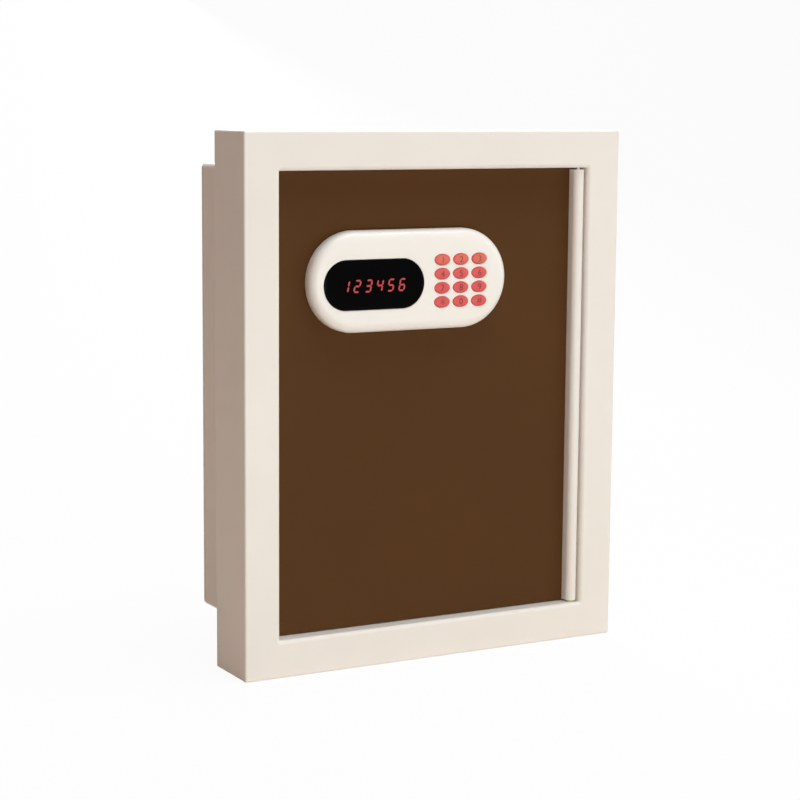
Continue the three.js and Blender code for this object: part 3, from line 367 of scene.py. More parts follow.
def cream_plastic():
    """Moulded shell with a fine spark finish."""
    finish = Finish("cream_plastic", 0.36)
    finish.shade(linear(colours().shell), scale=20, amount=0.01)
    finish.gloss(120, low=0.33, high=0.42)
    finish.relief(finish.noise(3400, detail=1.0), strength=0.05, distance=0.03 * MM)
    return finish.material


def black_window():
    """Gloss acrylic with the faintest film of dust."""
    finish = Finish("black_window", 0.09)
    finish.set("Specular IOR Level", 0.03)
    finish.shade(linear(colours().window), scale=30, amount=0.2)
    finish.gloss(45, low=0.07, high=0.14)
    return finish.material


def red_light():
    """Lit strokes, a little uneven in their brightness."""
    finish = Finish("red_light", 0.25)
    tone = linear(colours().digit)
    share = finish.spread(finish.noise(900, detail=1.0), 0, 1)
    finish.set("Base Color", (0.02, 0.002, 0.002, 1))
    finish.link("Emission Color", finish.mix(share, scaled(tone, 0.8), tone))
    finish.set("Emission Strength", 1.0)
    finish.set("Coat Weight", 0.4)
    return finish.material


def red_rubber():
    """Clear red rubber: a deeper rim, and a warmer tone on the upper rows."""
    finish = Finish("red_rubber", 0.38)
    low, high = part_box("key_0")[0].z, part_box("key_1")[1].z
    warmer_from = low + 0.6 * (high - low)
    height = finish.spread(finish.along("Z"), 0, 1, warmer_from, high)
    middle = finish.mix(height, linear(colours().key_low), linear(colours().key_high))
    outward = finish.node("ShaderNodeAttribute", attribute_name="rim").outputs["Fac"]
    rim_start, rim_end = 0.72, 0.96
    edge = finish.spread(outward, 0, 1, rim_start, rim_end)
    rim = linear(colours().key_rim)
    blots = finish.spread(finish.noise(260), 0.0, 0.12)
    finish.link("Base Color", finish.mix(blots, finish.mix(edge, middle, rim), rim))
    finish.set("Subsurface Weight", 0.08)
    finish.set("Subsurface Radius", (0.004, 0.001, 0.001))
    finish.gloss(300, low=0.34, high=0.46)
    finish.relief(finish.noise(2500), strength=0.08, distance=0.03 * MM)
    return finish.material


def key_print():
    """Printed figures, slightly worn."""
    finish = Finish("key_print", 0.5)
    finish.shade(linear(colours().figure), scale=800, amount=0.18)
    finish.gloss(500, low=0.42, high=0.58)
    return finish.material


def zinc_steel():
    """Bright zinc plate: drawn lines and cloudy gloss."""
    finish = Finish("zinc_steel", 0.3, 0.9)
    finish.shade(linear(colours().steel), scale=70, amount=0.05)
    finish.gloss(110, low=0.28, high=0.44, detail=3.0)
    finish.relief(finish.noise(1800, detail=2.0, stretch=(0.04, 1, 1)), strength=0.08, distance=0.04 * MM)
    return finish.material


def brass():
    """Turned brass with a dull skin."""
    finish = Finish("brass", 0.32, 0.95)
    finish.shade(linear(colours().brass), scale=90, amount=0.08)
    finish.gloss(200, low=0.26, high=0.42)
    finish.relief(finish.noise(2600, detail=1.0, stretch=(1, 1, 0.05)), strength=0.08, distance=0.03 * MM)
    return finish.material


def dark_rubber():
    """Dull moulded rubber of the key mat."""
    finish = Finish("dark_rubber", 0.8)
    finish.shade(linear((0.17, 0.17, 0.17)), scale=60, amount=0.1)
    finish.relief(finish.noise(1500), strength=0.2, distance=0.05 * MM)
    return finish.material


def board_green():
    """Solder mask over faint straight tracks."""
    finish = Finish("board_green", 0.35)
    tracks = finish.node(
        "ShaderNodeTexWave",
        {"Vector": finish.place, "Scale": 120.0, "Distortion": 1.5, "Detail": 1.0},
        bands_direction="DIAGONAL",
    ).outputs[1]
    share = finish.spread(tracks, 0, 1, 0.45, 0.55)
    finish.link("Base Color", finish.mix(share, linear((0.10, 0.31, 0.20)), linear((0.13, 0.38, 0.25))))
    finish.relief(tracks, strength=0.15, distance=0.04 * MM)
    return finish.material


def black_plastic():
    """Moulded case plastic with a fine grain."""
    finish = Finish("black_plastic", 0.5)
    finish.shade(linear((0.12, 0.12, 0.125)), scale=50, amount=0.12)
    finish.gloss(150, low=0.42, high=0.56)
    finish.relief(finish.noise(2400), strength=0.12, distance=0.04 * MM)
    return finish.material


def cell_jacket():
    """Plain jacket with bare metal at both ends of the cell."""
    finish = Finish("cell_jacket", 0.32)
    low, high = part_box("battery_1")
    centre = (low.x + high.x) / 2
    reach = (high.x - low.x) / 2
    inputs = {0: finish.along("X"), 1: centre}
    offset = finish.node("ShaderNodeMath", inputs, operation="SUBTRACT").outputs[0]
    away = finish.node("ShaderNodeMath", {0: offset}, operation="ABSOLUTE").outputs[0]
    jacket_end, metal_start = reach - 1.9 * MM, reach - 1.7 * MM
    bare = finish.spread(away, 0, 1, jacket_end, metal_start)
    blots = finish.spread(finish.noise(80), 0, 1)
    jacket = finish.mix(blots, linear((0.20, 0.22, 0.25)), linear((0.24, 0.26, 0.29)))
    finish.link("Base Color", finish.mix(bare, jacket, linear((0.78, 0.78, 0.77))))
    finish.link("Metallic", bare)
    finish.gloss(200, low=0.26, high=0.38)
    return finish.material


def grey_felt():
    """Pressed fibres."""
    finish = Finish("grey_felt", 0.95)
    finish.set("Sheen Weight", 0.35)
    finish.set("Sheen Roughness", 0.6)
    finish.set("Specular IOR Level", 0.1)
    finish.shade(linear(colours().felt), scale=500, amount=0.16, detail=5.0)
    finish.relief(finish.noise(900, detail=6.0), strength=0.6, distance=0.4 * MM)
    finish.relief(finish.noise(4000, detail=2.0), strength=0.4, distance=0.15 * MM)
    return finish.material


def white_nylon():
    """Moulded nylon with a faint grain."""
    finish = Finish("white_nylon", 0.42)
    finish.shade(linear((0.91, 0.90, 0.87)), scale=60, amount=0.02)
    finish.gloss(150, low=0.36, high=0.48)
    finish.relief(finish.noise(1800), strength=0.06, distance=0.03 * MM)
    return finish.material


def grey_cable():
    """Flat cable: wires side by side under a grey sheath."""
    finish = Finish("grey_cable", 0.5)
    wires = finish.node(
        "ShaderNodeTexWave",
        {"Vector": finish.place, "Scale": 250.0, "Distortion": 0.0},
        bands_direction="X",
        wave_profile="SIN",
    ).outputs[1]
    finish.link("Base Color", finish.mix(wires, linear((0.50, 0.53, 0.55)), linear((0.66, 0.69, 0.71))))
    finish.relief(wires, strength=0.6, distance=0.3 * MM)
    return finish.material


MAKERS = (
    cream_paint, brown_face, cream_plastic, black_window, red_light, red_rubber, key_print, zinc_steel,
    brass, dark_rubber, board_green, black_plastic, cell_jacket, grey_felt, white_nylon, grey_cable,
)


def finish_of(name):
    """The material of that name, made when it is first asked for."""
    made = bpy.data.materials.get(name)
    return made or next(maker for maker in MAKERS if maker.__name__ == name)()


def body_of(node):
    """The body that a solid moves with."""
    return frame["nodes"][node]["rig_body"]


def middle_of(node):
    """The middle of a solid's box."""
    low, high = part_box(node)
    return [(a + b) / 2 for a, b in zip(low, high)]


def quarter_turn(steps, first=0):
    """The angles from 0 to 90 degrees in so many steps, without those before the first one asked for."""
    return [step / steps * math.pi / 2 for step in range(first, steps + 1)]


def spaced(low, high, inset, count):
    """Evenly spaced places between two ends, the outer ones an inset away from them."""
    return [low + inset + (high - low - 2 * inset) * i / (count - 1) for i in range(count)]


# Meshes and pieces


def mesh_piece(name, points, faces):
    """A new object in the scene with that mesh, its doubles merged and its faces outwards."""
    mesh = bpy.data.meshes.new(name)
    mesh.from_pydata([tuple(p) for p in points], [], faces)
    build = bmesh.new()
    build.from_mesh(mesh)
    bmesh.ops.remove_doubles(build, verts=build.verts, dist=TINY)
    bmesh.ops.recalc_face_normals(build, faces=build.faces)
    build.to_mesh(mesh)
    build.free()
    return scene_object(name, mesh)


def scene_object(name, data):
    """A new object in the scene, for a mesh, a text, a light or a camera."""
    made = bpy.data.objects.new(name, data)
    bpy.context.scene.collection.objects.link(made)
    return made


def skin(loops, joined):
    """Points and faces of a skin over loops with the same number of points, capped unless it joins up."""
    count = len(loops[0])
    points = [p for loop in loops for p in loop]
    faces = []
    for band in range(len(loops) if joined else len(loops) - 1):
        here, there = band * count, (band + 1) % len(loops) * count
        for i in range(count):
            j = (i + 1) % count
            faces.append((here + i, here + j, there + j, there + i))
    if not joined:
        faces.append(tuple(range(count)))
        faces.append(tuple(range(len(points) - count, len(points))))
    return points, faces


def bake_modifiers(piece):
    """Puts what a piece's modifiers make into its own mesh."""
    bpy.context.view_layer.update()
    graph = bpy.context.evaluated_depsgraph_get()
    mesh = bpy.data.meshes.new_from_object(
        piece.evaluated_get(graph), preserve_all_data_layers=True, depsgraph=graph
    )
    piece.modifiers.clear()
    piece.data = mesh
    mesh.name = piece.name


def settle(piece, body, material, slot=None, replaced=(), weighted=True):
    """Finishes a piece as one plain mesh with even shading and gives it to its body."""
    bake_modifiers(piece)
    piece.data.shade_smooth()
    piece.data.set_sharp_from_angle(angle=SHARP)
    if weighted:
        even = piece.modifiers.new("Even shading", "WEIGHTED_NORMAL")
        even.keep_sharp = True
        bake_modifiers(piece)
    if not piece.data.polygons:
        raise RuntimeError(f"{piece.name} has no faces")
    piece.data.materials.clear()
    piece.data.materials.append(finish_of(material))
    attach(piece, body)
    if replaced:
        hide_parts(*replaced)


def cut_away(piece, tool):
    """Cuts a tool's solid out of a piece and uses the tool up."""
    cut = piece.modifiers.new("Cut", "BOOLEAN")
    cut.operation = "DIFFERENCE"
    cut.solver = "EXACT"
    cut.object = tool
    bake_modifiers(piece)
    bpy.data.objects.remove(tool)


def bevel(piece, width, segments=2, angle=math.radians(40)):
    """Breaks the edges that turn by more than the angle."""
    edge = piece.modifiers.new("Broken edges", "BEVEL")
    edge.width = width
    edge.segments = segments
    edge.limit_method = "ANGLE"
    edge.angle_limit = angle
    edge.use_clamp_overlap = True


def refined_copy(node, kind, width, segments=2, reshape=None):
    """Puts a copy of a node's solid in its place, reshaped where asked and with broken edges."""
    mesh = frame["nodes"][node].data.copy()
    build = bmesh.new()
    build.from_mesh(mesh)
    bmesh.ops.remove_doubles(build, verts=build.verts, dist=TINY)
    flat = math.radians(0.5)
    bmesh.ops.dissolve_limit(build, angle_limit=flat, verts=build.verts, edges=build.edges)
    if reshape:
        for vertex in build.verts:
            vertex.co = reshape(vertex.co)
    build.to_mesh(mesh)
    build.free()
    piece = scene_object(f"{node}_{kind}", mesh)
    bevel(piece, width, segments)
    settle(piece, body_of(node), slots[node], slots[node], (node,))


def rectangle_loop(half_x, half_z, radius, y, steps=6):
    """A rectangle with round corners in the plane at y."""
    points = []
    for corner, (sign_x, sign_z) in enumerate(CORNERS):
        for step in range(steps + 1):
            angle = (corner + step / steps) * math.pi / 2
            x = sign_x * (half_x - radius) + radius * math.cos(angle)
            z = sign_z * (half_z - radius) + radius * math.sin(angle)
            points.append((x, y, z))
    return points


def slot_outline(x, z, reach, radius, arc_steps=40, side_steps=36):
    """A slot in (x, z), two half circles joined by straight sides, anticlockwise seen from the front."""
    points = []
    for side in (1, -1):
        for step in range(arc_steps):
            angle = math.pi * (step / arc_steps - side / 2)
            points.append((x + side * reach + radius * math.cos(angle), z + radius * math.sin(angle)))
        for step in range(side_steps):
            points.append((x + side * reach * (1 - 2 * step / side_steps), z + side * radius))
    return points


def slot_loop(y, *sizes):
    """A slot's outline in the plane at y."""
    return [(x, y, z) for x, z in slot_outline(*sizes)]


def oval_outline(x, z, half_x, half_z, steps=48):
    """An oval in (x, z)."""
    angles = [2 * math.pi * step / steps for step in range(steps)]
    return [(x + half_x * math.cos(angle), z + half_z * math.sin(angle)) for angle in angles]


def inside_slot(point, x, z, reach):
    """How far a point lies from a slot's centre line."""
    along = max(-reach, min(reach, point[0] - x))
    return math.hypot(point[0] - x - along, point[1] - z)


def filled_front(outline, holes, spacing, keep):
    """Points and triangles that fill an outline round its holes, with a net of points where keep allows."""
    points = [Vector(p) for p in outline]
    edges = [(i, (i + 1) % len(outline)) for i in range(len(outline))]
    for hole in holes:
        first = len(points)
        points += [Vector(p) for p in hole]
        edges += [(first + i, first + (i + 1) % len(hole)) for i in range(len(hole))]
    low_x, high_x = min(p[0] for p in outline), max(p[0] for p in outline)
    low_z, high_z = min(p[1] for p in outline), max(p[1] for p in outline)
    rows = int((high_z - low_z) / (spacing * math.sqrt(0.75)))
    for row in range(1, rows):
        z = low_z + (high_z - low_z) * row / rows
        x = low_x + spacing * (0.5 if row % 2 else 1.0)
        while x < high_x:
            if keep((x, z)):
                points.append(Vector((x, z)))
            x += spacing
    verts, _, faces, *_ = delaunay_2d_cdt(points, edges, [], 0, FILL_TINY)
    return verts, faces


def middle_of_face(points, triangle):
    """The middle of a triangle of numbered points."""
    return sum((points[i] for i in triangle), Vector((0, 0))) / 3


def turned_piece(name, profile, axis, origin, steps):
    """A turned solid: its profile holds (radius, distance along the axis) from one end to the other."""
    turn = Vector((0, 0, 1)).rotation_difference(axis).to_matrix()
    loops = [
        [turn @ Vector((x, y, along)) + origin for x, y in oval_outline(0, 0, radius, radius, steps)]
        for radius, along in profile
    ]
    return mesh_piece(name, *skin(loops, False))


# Geometry node trees


class Tree:
    """A geometry node tree under construction, with named inputs and a Material input."""

    def __init__(self, name, inputs):
        self.tree = bpy.data.node_groups.new(name, "GeometryNodeTree")
        sockets = self.tree.interface
        sockets.new_socket("Geometry", in_out="INPUT", socket_type="NodeSocketGeometry")
        for label, kind, default in inputs:
            socket = sockets.new_socket(label, in_out="INPUT", socket_type="NodeSocket" + kind)
            if default is not None:
                socket.default_value = default
        sockets.new_socket("Material", in_out="INPUT", socket_type="NodeSocketMaterial")
        sockets.new_socket("Geometry", in_out="OUTPUT", socket_type="NodeSocketGeometry")
        self.given = self.tree.nodes.new("NodeGroupInput").outputs

    def node(self, kind, inputs=(), **settings):
        """A new node of this tree."""
        return add_node(self.tree, kind, inputs, **settings)

    def calc(self, operation, *values):
        """One step of arithmetic on values or outputs."""
        return self.node("ShaderNodeMath", dict(enumerate(values)), operation=operation).outputs[0]

    def place(self):
        """The parts of each point's place, by name."""
        position = self.node("GeometryNodeInputPosition").outputs[0]
        return self.node("ShaderNodeSeparateXYZ", {0: position}).outputs

    def shifted(self, geometry, offset):
        """Geometry that is moved by an offset."""
        return self.node("GeometryNodeSetPosition", {"Geometry": geometry, "Offset": offset}).outputs[0]

    def finish(self, geometry):
        """Ends the tree in plain geometry with its material."""
        plain = self.node("GeometryNodeRealizeInstances", {"Geometry": geometry}).outputs[0]
        inputs = {"Geometry": plain, "Material": self.given["Material"]}
        coated = self.node("GeometryNodeSetMaterial", inputs).outputs[0]
        self.node("NodeGroupOutput", {"Geometry": coated})
        return self.tree


def grown_piece(name, tree, points, values, attributes=()):
    """A new object whose mesh is what the tree grows from those points."""
    mesh = bpy.data.meshes.new(name)
    mesh.from_pydata([tuple(p) for p in points], [], [])
    for label, numbers in dict(attributes).items():
        layer = mesh.attributes.new(label, "FLOAT", "POINT")
        layer.data.foreach_set("value", numbers)
    piece = scene_object(name, mesh)
    grow = piece.modifiers.new("Grow", "NODES")
    grow.node_group = tree
    for socket in tree.interface.items_tree:
        if socket.in_out == "INPUT" and socket.name in values:
            grow[socket.identifier] = values[socket.name]
    return piece


def copies_tree():
    """Copies of one small piece on every point."""
    found = bpy.data.node_groups.get("copies_on_points")
    if found:
        return found
    tree = Tree("copies_on_points", (("Piece", "Object", None), ("Size", "Float", 1.0)))
    piece = tree.node("GeometryNodeObjectInfo", {"Object": tree.given["Piece"]}).outputs["Geometry"]
    spread = tree.node(
        "GeometryNodeInstanceOnPoints",
        {"Points": tree.given["Geometry"], "Instance": piece, "Scale": tree.given["Size"]},
    )
    return tree.finish(spread.outputs[0])


def copies(name, source, points, material, body, slot, replaced=()):
    """Puts copies of a small piece, which is used up, on those points, as one piece of a body."""
    values = {"Piece": source, "Size": 1.0, "Material": finish_of(material)}
    piece = grown_piece(name, copies_tree(), points, values)
    settle(piece, body, material, slot, replaced)
    bpy.data.objects.remove(source)


def key_tree():
    """A key's cap: a closed oval with straight sides and a low crown, swept in polar steps."""
    found = bpy.data.node_groups.get("key_cap")
    if found:
        return found
    tree = Tree("key_cap", (
        ("Seat", "Vector", (0, 0, 0)),
        ("Half length", "Float", 8 * MM),
        ("Half height", "Float", 5 * MM),
        ("Side", "Float", 2 * MM),
        ("Crown", "Float", 0.8 * MM),
        ("Around", "Int", 64),
        ("Rows", "Int", 14),
    ))
    given, calc = tree.given, tree.calc

    # The first row is the base's middle, the next its edge, the third the top of the straight side,
    # and from there the rows rise to the crown's middle
    columns = calc("ADD", given["Around"], 1)
    grid = tree.node(
        "GeometryNodeMeshGrid",
        {"Size X": 1.0, "Size Y": 1.0, "Vertices X": columns, "Vertices Y": given["Rows"]},
    )
    here = tree.place()
    angle = calc("MULTIPLY", calc("ADD", here["X"], 0.5), 2 * math.pi)
    last = calc("SUBTRACT", given["Rows"], 1)
    row = calc("MULTIPLY", calc("ADD", here["Y"], 0.5), last)
    share = calc("DIVIDE", calc("SUBTRACT", row, 2), calc("SUBTRACT", last, 2))
    sweep = calc("MULTIPLY", calc("MINIMUM", calc("MAXIMUM", share, 0), 1), math.pi / 2)
    out_of_base = calc("GREATER_THAN", row, 0.5)
    out_of_edge = calc("GREATER_THAN", row, 1.5)
    shoulder = calc("POWER", calc("MAXIMUM", calc("COSINE", sweep), 0), 2 / 3)
    radial = calc("MULTIPLY", shoulder, out_of_base)
    crown = calc("MULTIPLY", calc("SINE", sweep), given["Crown"])
    height = calc("MULTIPLY", calc("ADD", crown, given["Side"]), out_of_edge)
    x = calc("MULTIPLY", calc("MULTIPLY", radial, calc("COSINE", angle)), given["Half length"])
    z = calc("MULTIPLY", calc("MULTIPLY", radial, calc("SINE", angle)), given["Half height"])
    y = calc("MULTIPLY", height, -1)
    place = tree.node("ShaderNodeCombineXYZ", {"X": x, "Y": y, "Z": z}).outputs[0]
    rimmed = tree.node(
        "GeometryNodeStoreNamedAttribute",
        {"Geometry": grid.outputs["Mesh"], "Name": "rim", "Value": radial},
        data_type="FLOAT",
        domain="POINT",
    ).outputs[0]
    moved = tree.node("GeometryNodeSetPosition", {"Geometry": rimmed, "Position": place}).outputs[0]
    seated = tree.shifted(moved, given["Seat"])
    closed = tree.node("GeometryNodeMergeByDistance", {"Geometry": seated, "Distance": TINY}).outputs[0]
    return tree.finish(closed)


def digit_tree():
    """Strokes with mitred ends on points, flat or upright as the point says, all leaning alike."""
    tree = Tree("seven_strokes", (
        ("Stroke", "Float", 1.6 * MM),
        ("Depth", "Float", 0.1 * MM),
        ("Flat length", "Float", 5 * MM),
        ("Upright length", "Float", 6 * MM),
        ("Lean", "Float", 0.2),
        ("Middle", "Float", 0.0),
    ))
    given, calc = tree.given, tree.calc

    # A stroke is a six-sided bar of its width, drawn out along X so that its points become mitres
    radius = calc("DIVIDE", given["Stroke"], math.sqrt(3))
    named = tree.node("GeometryNodeInputNamedAttribute", {"Name": "upright"}, data_type="FLOAT")
    upright = named.outputs[0]
    laid = []
    for length, turn, chosen in (
        ("Flat length", 0.0, calc("LESS_THAN", upright, 0.5)),
        ("Upright length", math.pi / 2, calc("GREATER_THAN", upright, 0.5)),
    ):
        bar = tree.node(
            "GeometryNodeMeshCylinder",
            {"Vertices": 6, "Radius": radius, "Depth": given["Depth"]},
        )
        here = tree.place()
        stretch = calc("SUBTRACT", calc("MULTIPLY", given[length], 0.5), given["Stroke"])
        mitred = calc("MULTIPLY", here["X"], math.sqrt(3) - 1)
        further = calc("ADD", calc("MULTIPLY", calc("SIGN", here["X"]), stretch), mitred)
        drawn = tree.node("ShaderNodeCombineXYZ", {"X": further}).outputs[0]
        facing = tree.node(
            "GeometryNodeTransform",
            {"Geometry": tree.shifted(bar.outputs[0], drawn), "Rotation": (math.pi / 2, 0, 0)},
        )
        spread = tree.node(
            "GeometryNodeInstanceOnPoints",
            {
                "Points": given["Geometry"],
                "Selection": chosen,
                "Instance": facing.outputs[0],
                "Rotation": (0, turn, 0),
            },
        )
        laid.append(spread.outputs[0])
    joined = tree.node("GeometryNodeJoinGeometry")
    for output in laid:
        tree.tree.links.new(output, joined.inputs[0])
    plain = tree.node("GeometryNodeRealizeInstances", {"Geometry": joined.outputs[0]}).outputs[0]
    lean = calc("MULTIPLY", calc("SUBTRACT", tree.place()["Z"], given["Middle"]), given["Lean"])
    shift = tree.node("ShaderNodeCombineXYZ", {"X": lean}).outputs[0]
    return tree.finish(tree.shifted(plain, shift))


# Operators: one for each piece or group of like pieces


class FrontFrame(bpy.types.Operator):
    """Fold the frame's sheet round the face, with smooth bends"""

    bl_idname = "hotel_safe.front_frame"
    bl_label = "Front frame"

    def section(self, sizes, low, high):
        """The sheet's section as (distance in from the outer side, depth)."""
        points = []

        def bend(inset, y, radius, start, end):
            """An arc about the point at that inset and depth."""
            for step in range(sizes.bend_steps + 1):
                angle = start + (end - start) * step / sizes.bend_steps
                points.append((inset + radius * math.cos(angle), y + radius * math.sin(angle)))

        quarter = math.pi / 2
        lip = sizes.border - sizes.lip_bend
        inner_lip = sizes.lip_bend - sizes.sheet
        centre = sizes.sheet + LEAST_BEND
        box_low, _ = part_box("inner_box")
        gap = 0.3 * MM
        back_return = box_low.x - low.x - gap
        return_end = low.y + sizes.return_depth
        points.append((back_return, high.y))
        bend(sizes.outer_bend, high.y - sizes.outer_bend, sizes.outer_bend, quarter, 2 * quarter)
        bend(sizes.outer_bend, low.y + sizes.outer_bend, sizes.outer_bend, 2 * quarter, 3 * quarter)
        bend(lip, low.y + sizes.lip_bend, sizes.lip_bend, 3 * quarter, 4 * quarter)
        points.append((sizes.border, return_end))
        points.append((sizes.border - sizes.sheet, return_end))
        bend(lip, low.y + sizes.lip_bend, inner_lip, 4 * quarter, 3 * quarter)
        bend(centre, low.y + centre, LEAST_BEND, 3 * quarter, 2 * quarter)
        bend(centre, high.y - centre, LEAST_BEND, 2 * quarter, quarter)
        points.append((back_return, high.y - sizes.sheet))
        return points

    def execute(self, context):
        sizes = context.scene.safe_frame
        low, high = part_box("front_frame")
        half_x, half_z = high.x, high.z
        loops = []
        for inset, y in self.section(sizes, low, high):
            outer = inset < sizes.border / 2
            radius = sizes.outer_bend - inset if outer else sizes.corner + sizes.border - inset
            loops.append(rectangle_loop(half_x - inset, half_z - inset, max(radius, LEAST_BEND), y))
        piece = mesh_piece("front_frame_sheet", *skin(loops, True))
        self.drill(piece)
        settle(piece, "safe_body", "cream_paint", "cream_paint", ("front_frame",))
        return {"FINISHED"}

    def drill(self, piece):
        """The holes that the pivots' bushes pass through."""
        _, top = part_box("pivot_bush_top")
        bottom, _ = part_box("pivot_bush_bottom")
        x, y, _ = middle_of("pivot_bush_top")
        radius, beyond = 3.8 * MM, 2 * MM
        profile = ((radius, bottom.z - beyond), (radius, top.z + beyond))
        cut_away(piece, turned_piece("pivot_drill", profile, Vector((0, 0, 1)), Vector((x, y, 0)), 48))


class FixedSteel(bpy.types.Operator):
    """Finish the box, its back, the stops and the mat"""

    bl_idname = "hotel_safe.fixed_steel"
    bl_label = "Box and fittings"

    def execute(self, context):
        edge = context.scene.safe_frame.edge
        refined_copy("inner_box", "sheet", edge)
        refined_copy("back_panel", "sheet", edge)
        refined_copy("door_stop_top", "angle", edge)
        refined_copy("door_stop_bottom", "angle", edge)
        refined_copy("floor_mat", "felt", 2 * edge, segments=3)
        return {"FINISHED"}


class Welds(bpy.types.Operator):
    """Add the welds round the back panel and the rivets of the keeper and the stops"""

    bl_idname = "hotel_safe.welds"
    bl_label = "Welds and rivets"

    def execute(self, context):
        self.back_welds()
        self.keeper_rivets()
        self.stop_rivets()
        return {"FINISHED"}

    def button(self, name, axis, radius, height):
        """A low round head that stands on its point, with its foot a little under it."""
        foot = -0.3 * MM
        profile = [(radius, foot)]
        for angle in quarter_turn(6):
            profile.append((max(radius * math.cos(angle), TIP), height * math.sin(angle)))
        return turned_piece(name, profile, axis, Vector(), 28)

    def back_welds(self):
        """Beads along the back panel's rim."""
        low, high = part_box("back_panel")
        inset = 9 * MM
        xs = spaced(low.x, high.x, inset, 6)
        zs = spaced(low.z, high.z, inset, 8)
        rim = [(x, high.y, z) for x in xs for z in (zs[0], zs[-1])]
        rim += [(x, high.y, z) for x in (xs[0], xs[-1]) for z in zs[1:-1]]
        head = self.button("weld_head", Vector((0, 1, 0)), radius=3 * MM, height=0.25 * MM)
        copies("back_panel_welds", head, rim, "cream_paint", "safe_body", "cream_paint")

    def keeper_rivets(self):
        """Rivets down the keeper."""
        low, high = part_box("strike_plate")
        sheet, fold, inset = 2 * MM, 3 * MM, 9 * MM
        y = (low.y + fold + high.y) / 2
        places = [(low.x + sheet, y, z) for z in (low.z + inset, 0, high.z - inset)]
        head = self.button("rivet_head", Vector((1, 0, 0)), radius=3.2 * MM, height=1.3 * MM)
        copies("strike_plate_rivets", head, places, "zinc_steel", "safe_body", "zinc_steel")

    def stop_rivets(self):
        """Rivets along both stops."""
        sheet, fold, inset = 2 * MM, 3 * MM, 20 * MM
        for node, sign in (("door_stop_top", 1), ("door_stop_bottom", -1)):
            low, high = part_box(node)
            wall = high.z if sign > 0 else low.z
            y = (low.y + fold + high.y) / 2
            places = [(x, y, wall - sign * sheet) for x in spaced(low.x, high.x, inset, 4)]
            head = self.button("rivet_head", Vector((0, 0, -sign)), radius=2.6 * MM, height=1.0 * MM)
            copies(node + "_rivets", head, places, "cream_paint", "safe_body", "cream_paint")


class DoorSteel(bpy.types.Operator):
    """Finish the door's leaf, its brown face, the hinge strip and the cover inside"""

    bl_idname = "hotel_safe.door_steel"
    bl_label = "Door and cover"

    def execute(self, context):
        sizes = context.scene.safe_frame
        edge = sizes.edge
        corner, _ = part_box("hinge_stile")

        def opened_fold(point):
            """The strip's left fold, opened from its own bend to the wider one."""
            across, out = corner.x + sizes.strip_fold - point.x, corner.y + sizes.strip_fold - point.y
            if across < -TINY or out < -TINY:
                return point
            angle = math.atan2(out, across)
            left = corner.x + sizes.strip_bend * (1 - math.cos(angle))
            front = corner.y + sizes.strip_bend * (1 - math.sin(angle))
            return Vector((left, front, point.z))

        refined_copy("door_leaf", "sheet", edge)
        refined_copy("door_facing", "panel", edge)
        refined_copy("hinge_stile", "strip", edge, reshape=opened_fold)
        refined_copy("back_cover", "shell", edge)
        refined_copy("battery_lid", "plate", edge)
        refined_copy("battery_box", "tray", edge / 2)
        refined_copy("reset_button", "cap", edge / 2)
        return {"FINISHED"}


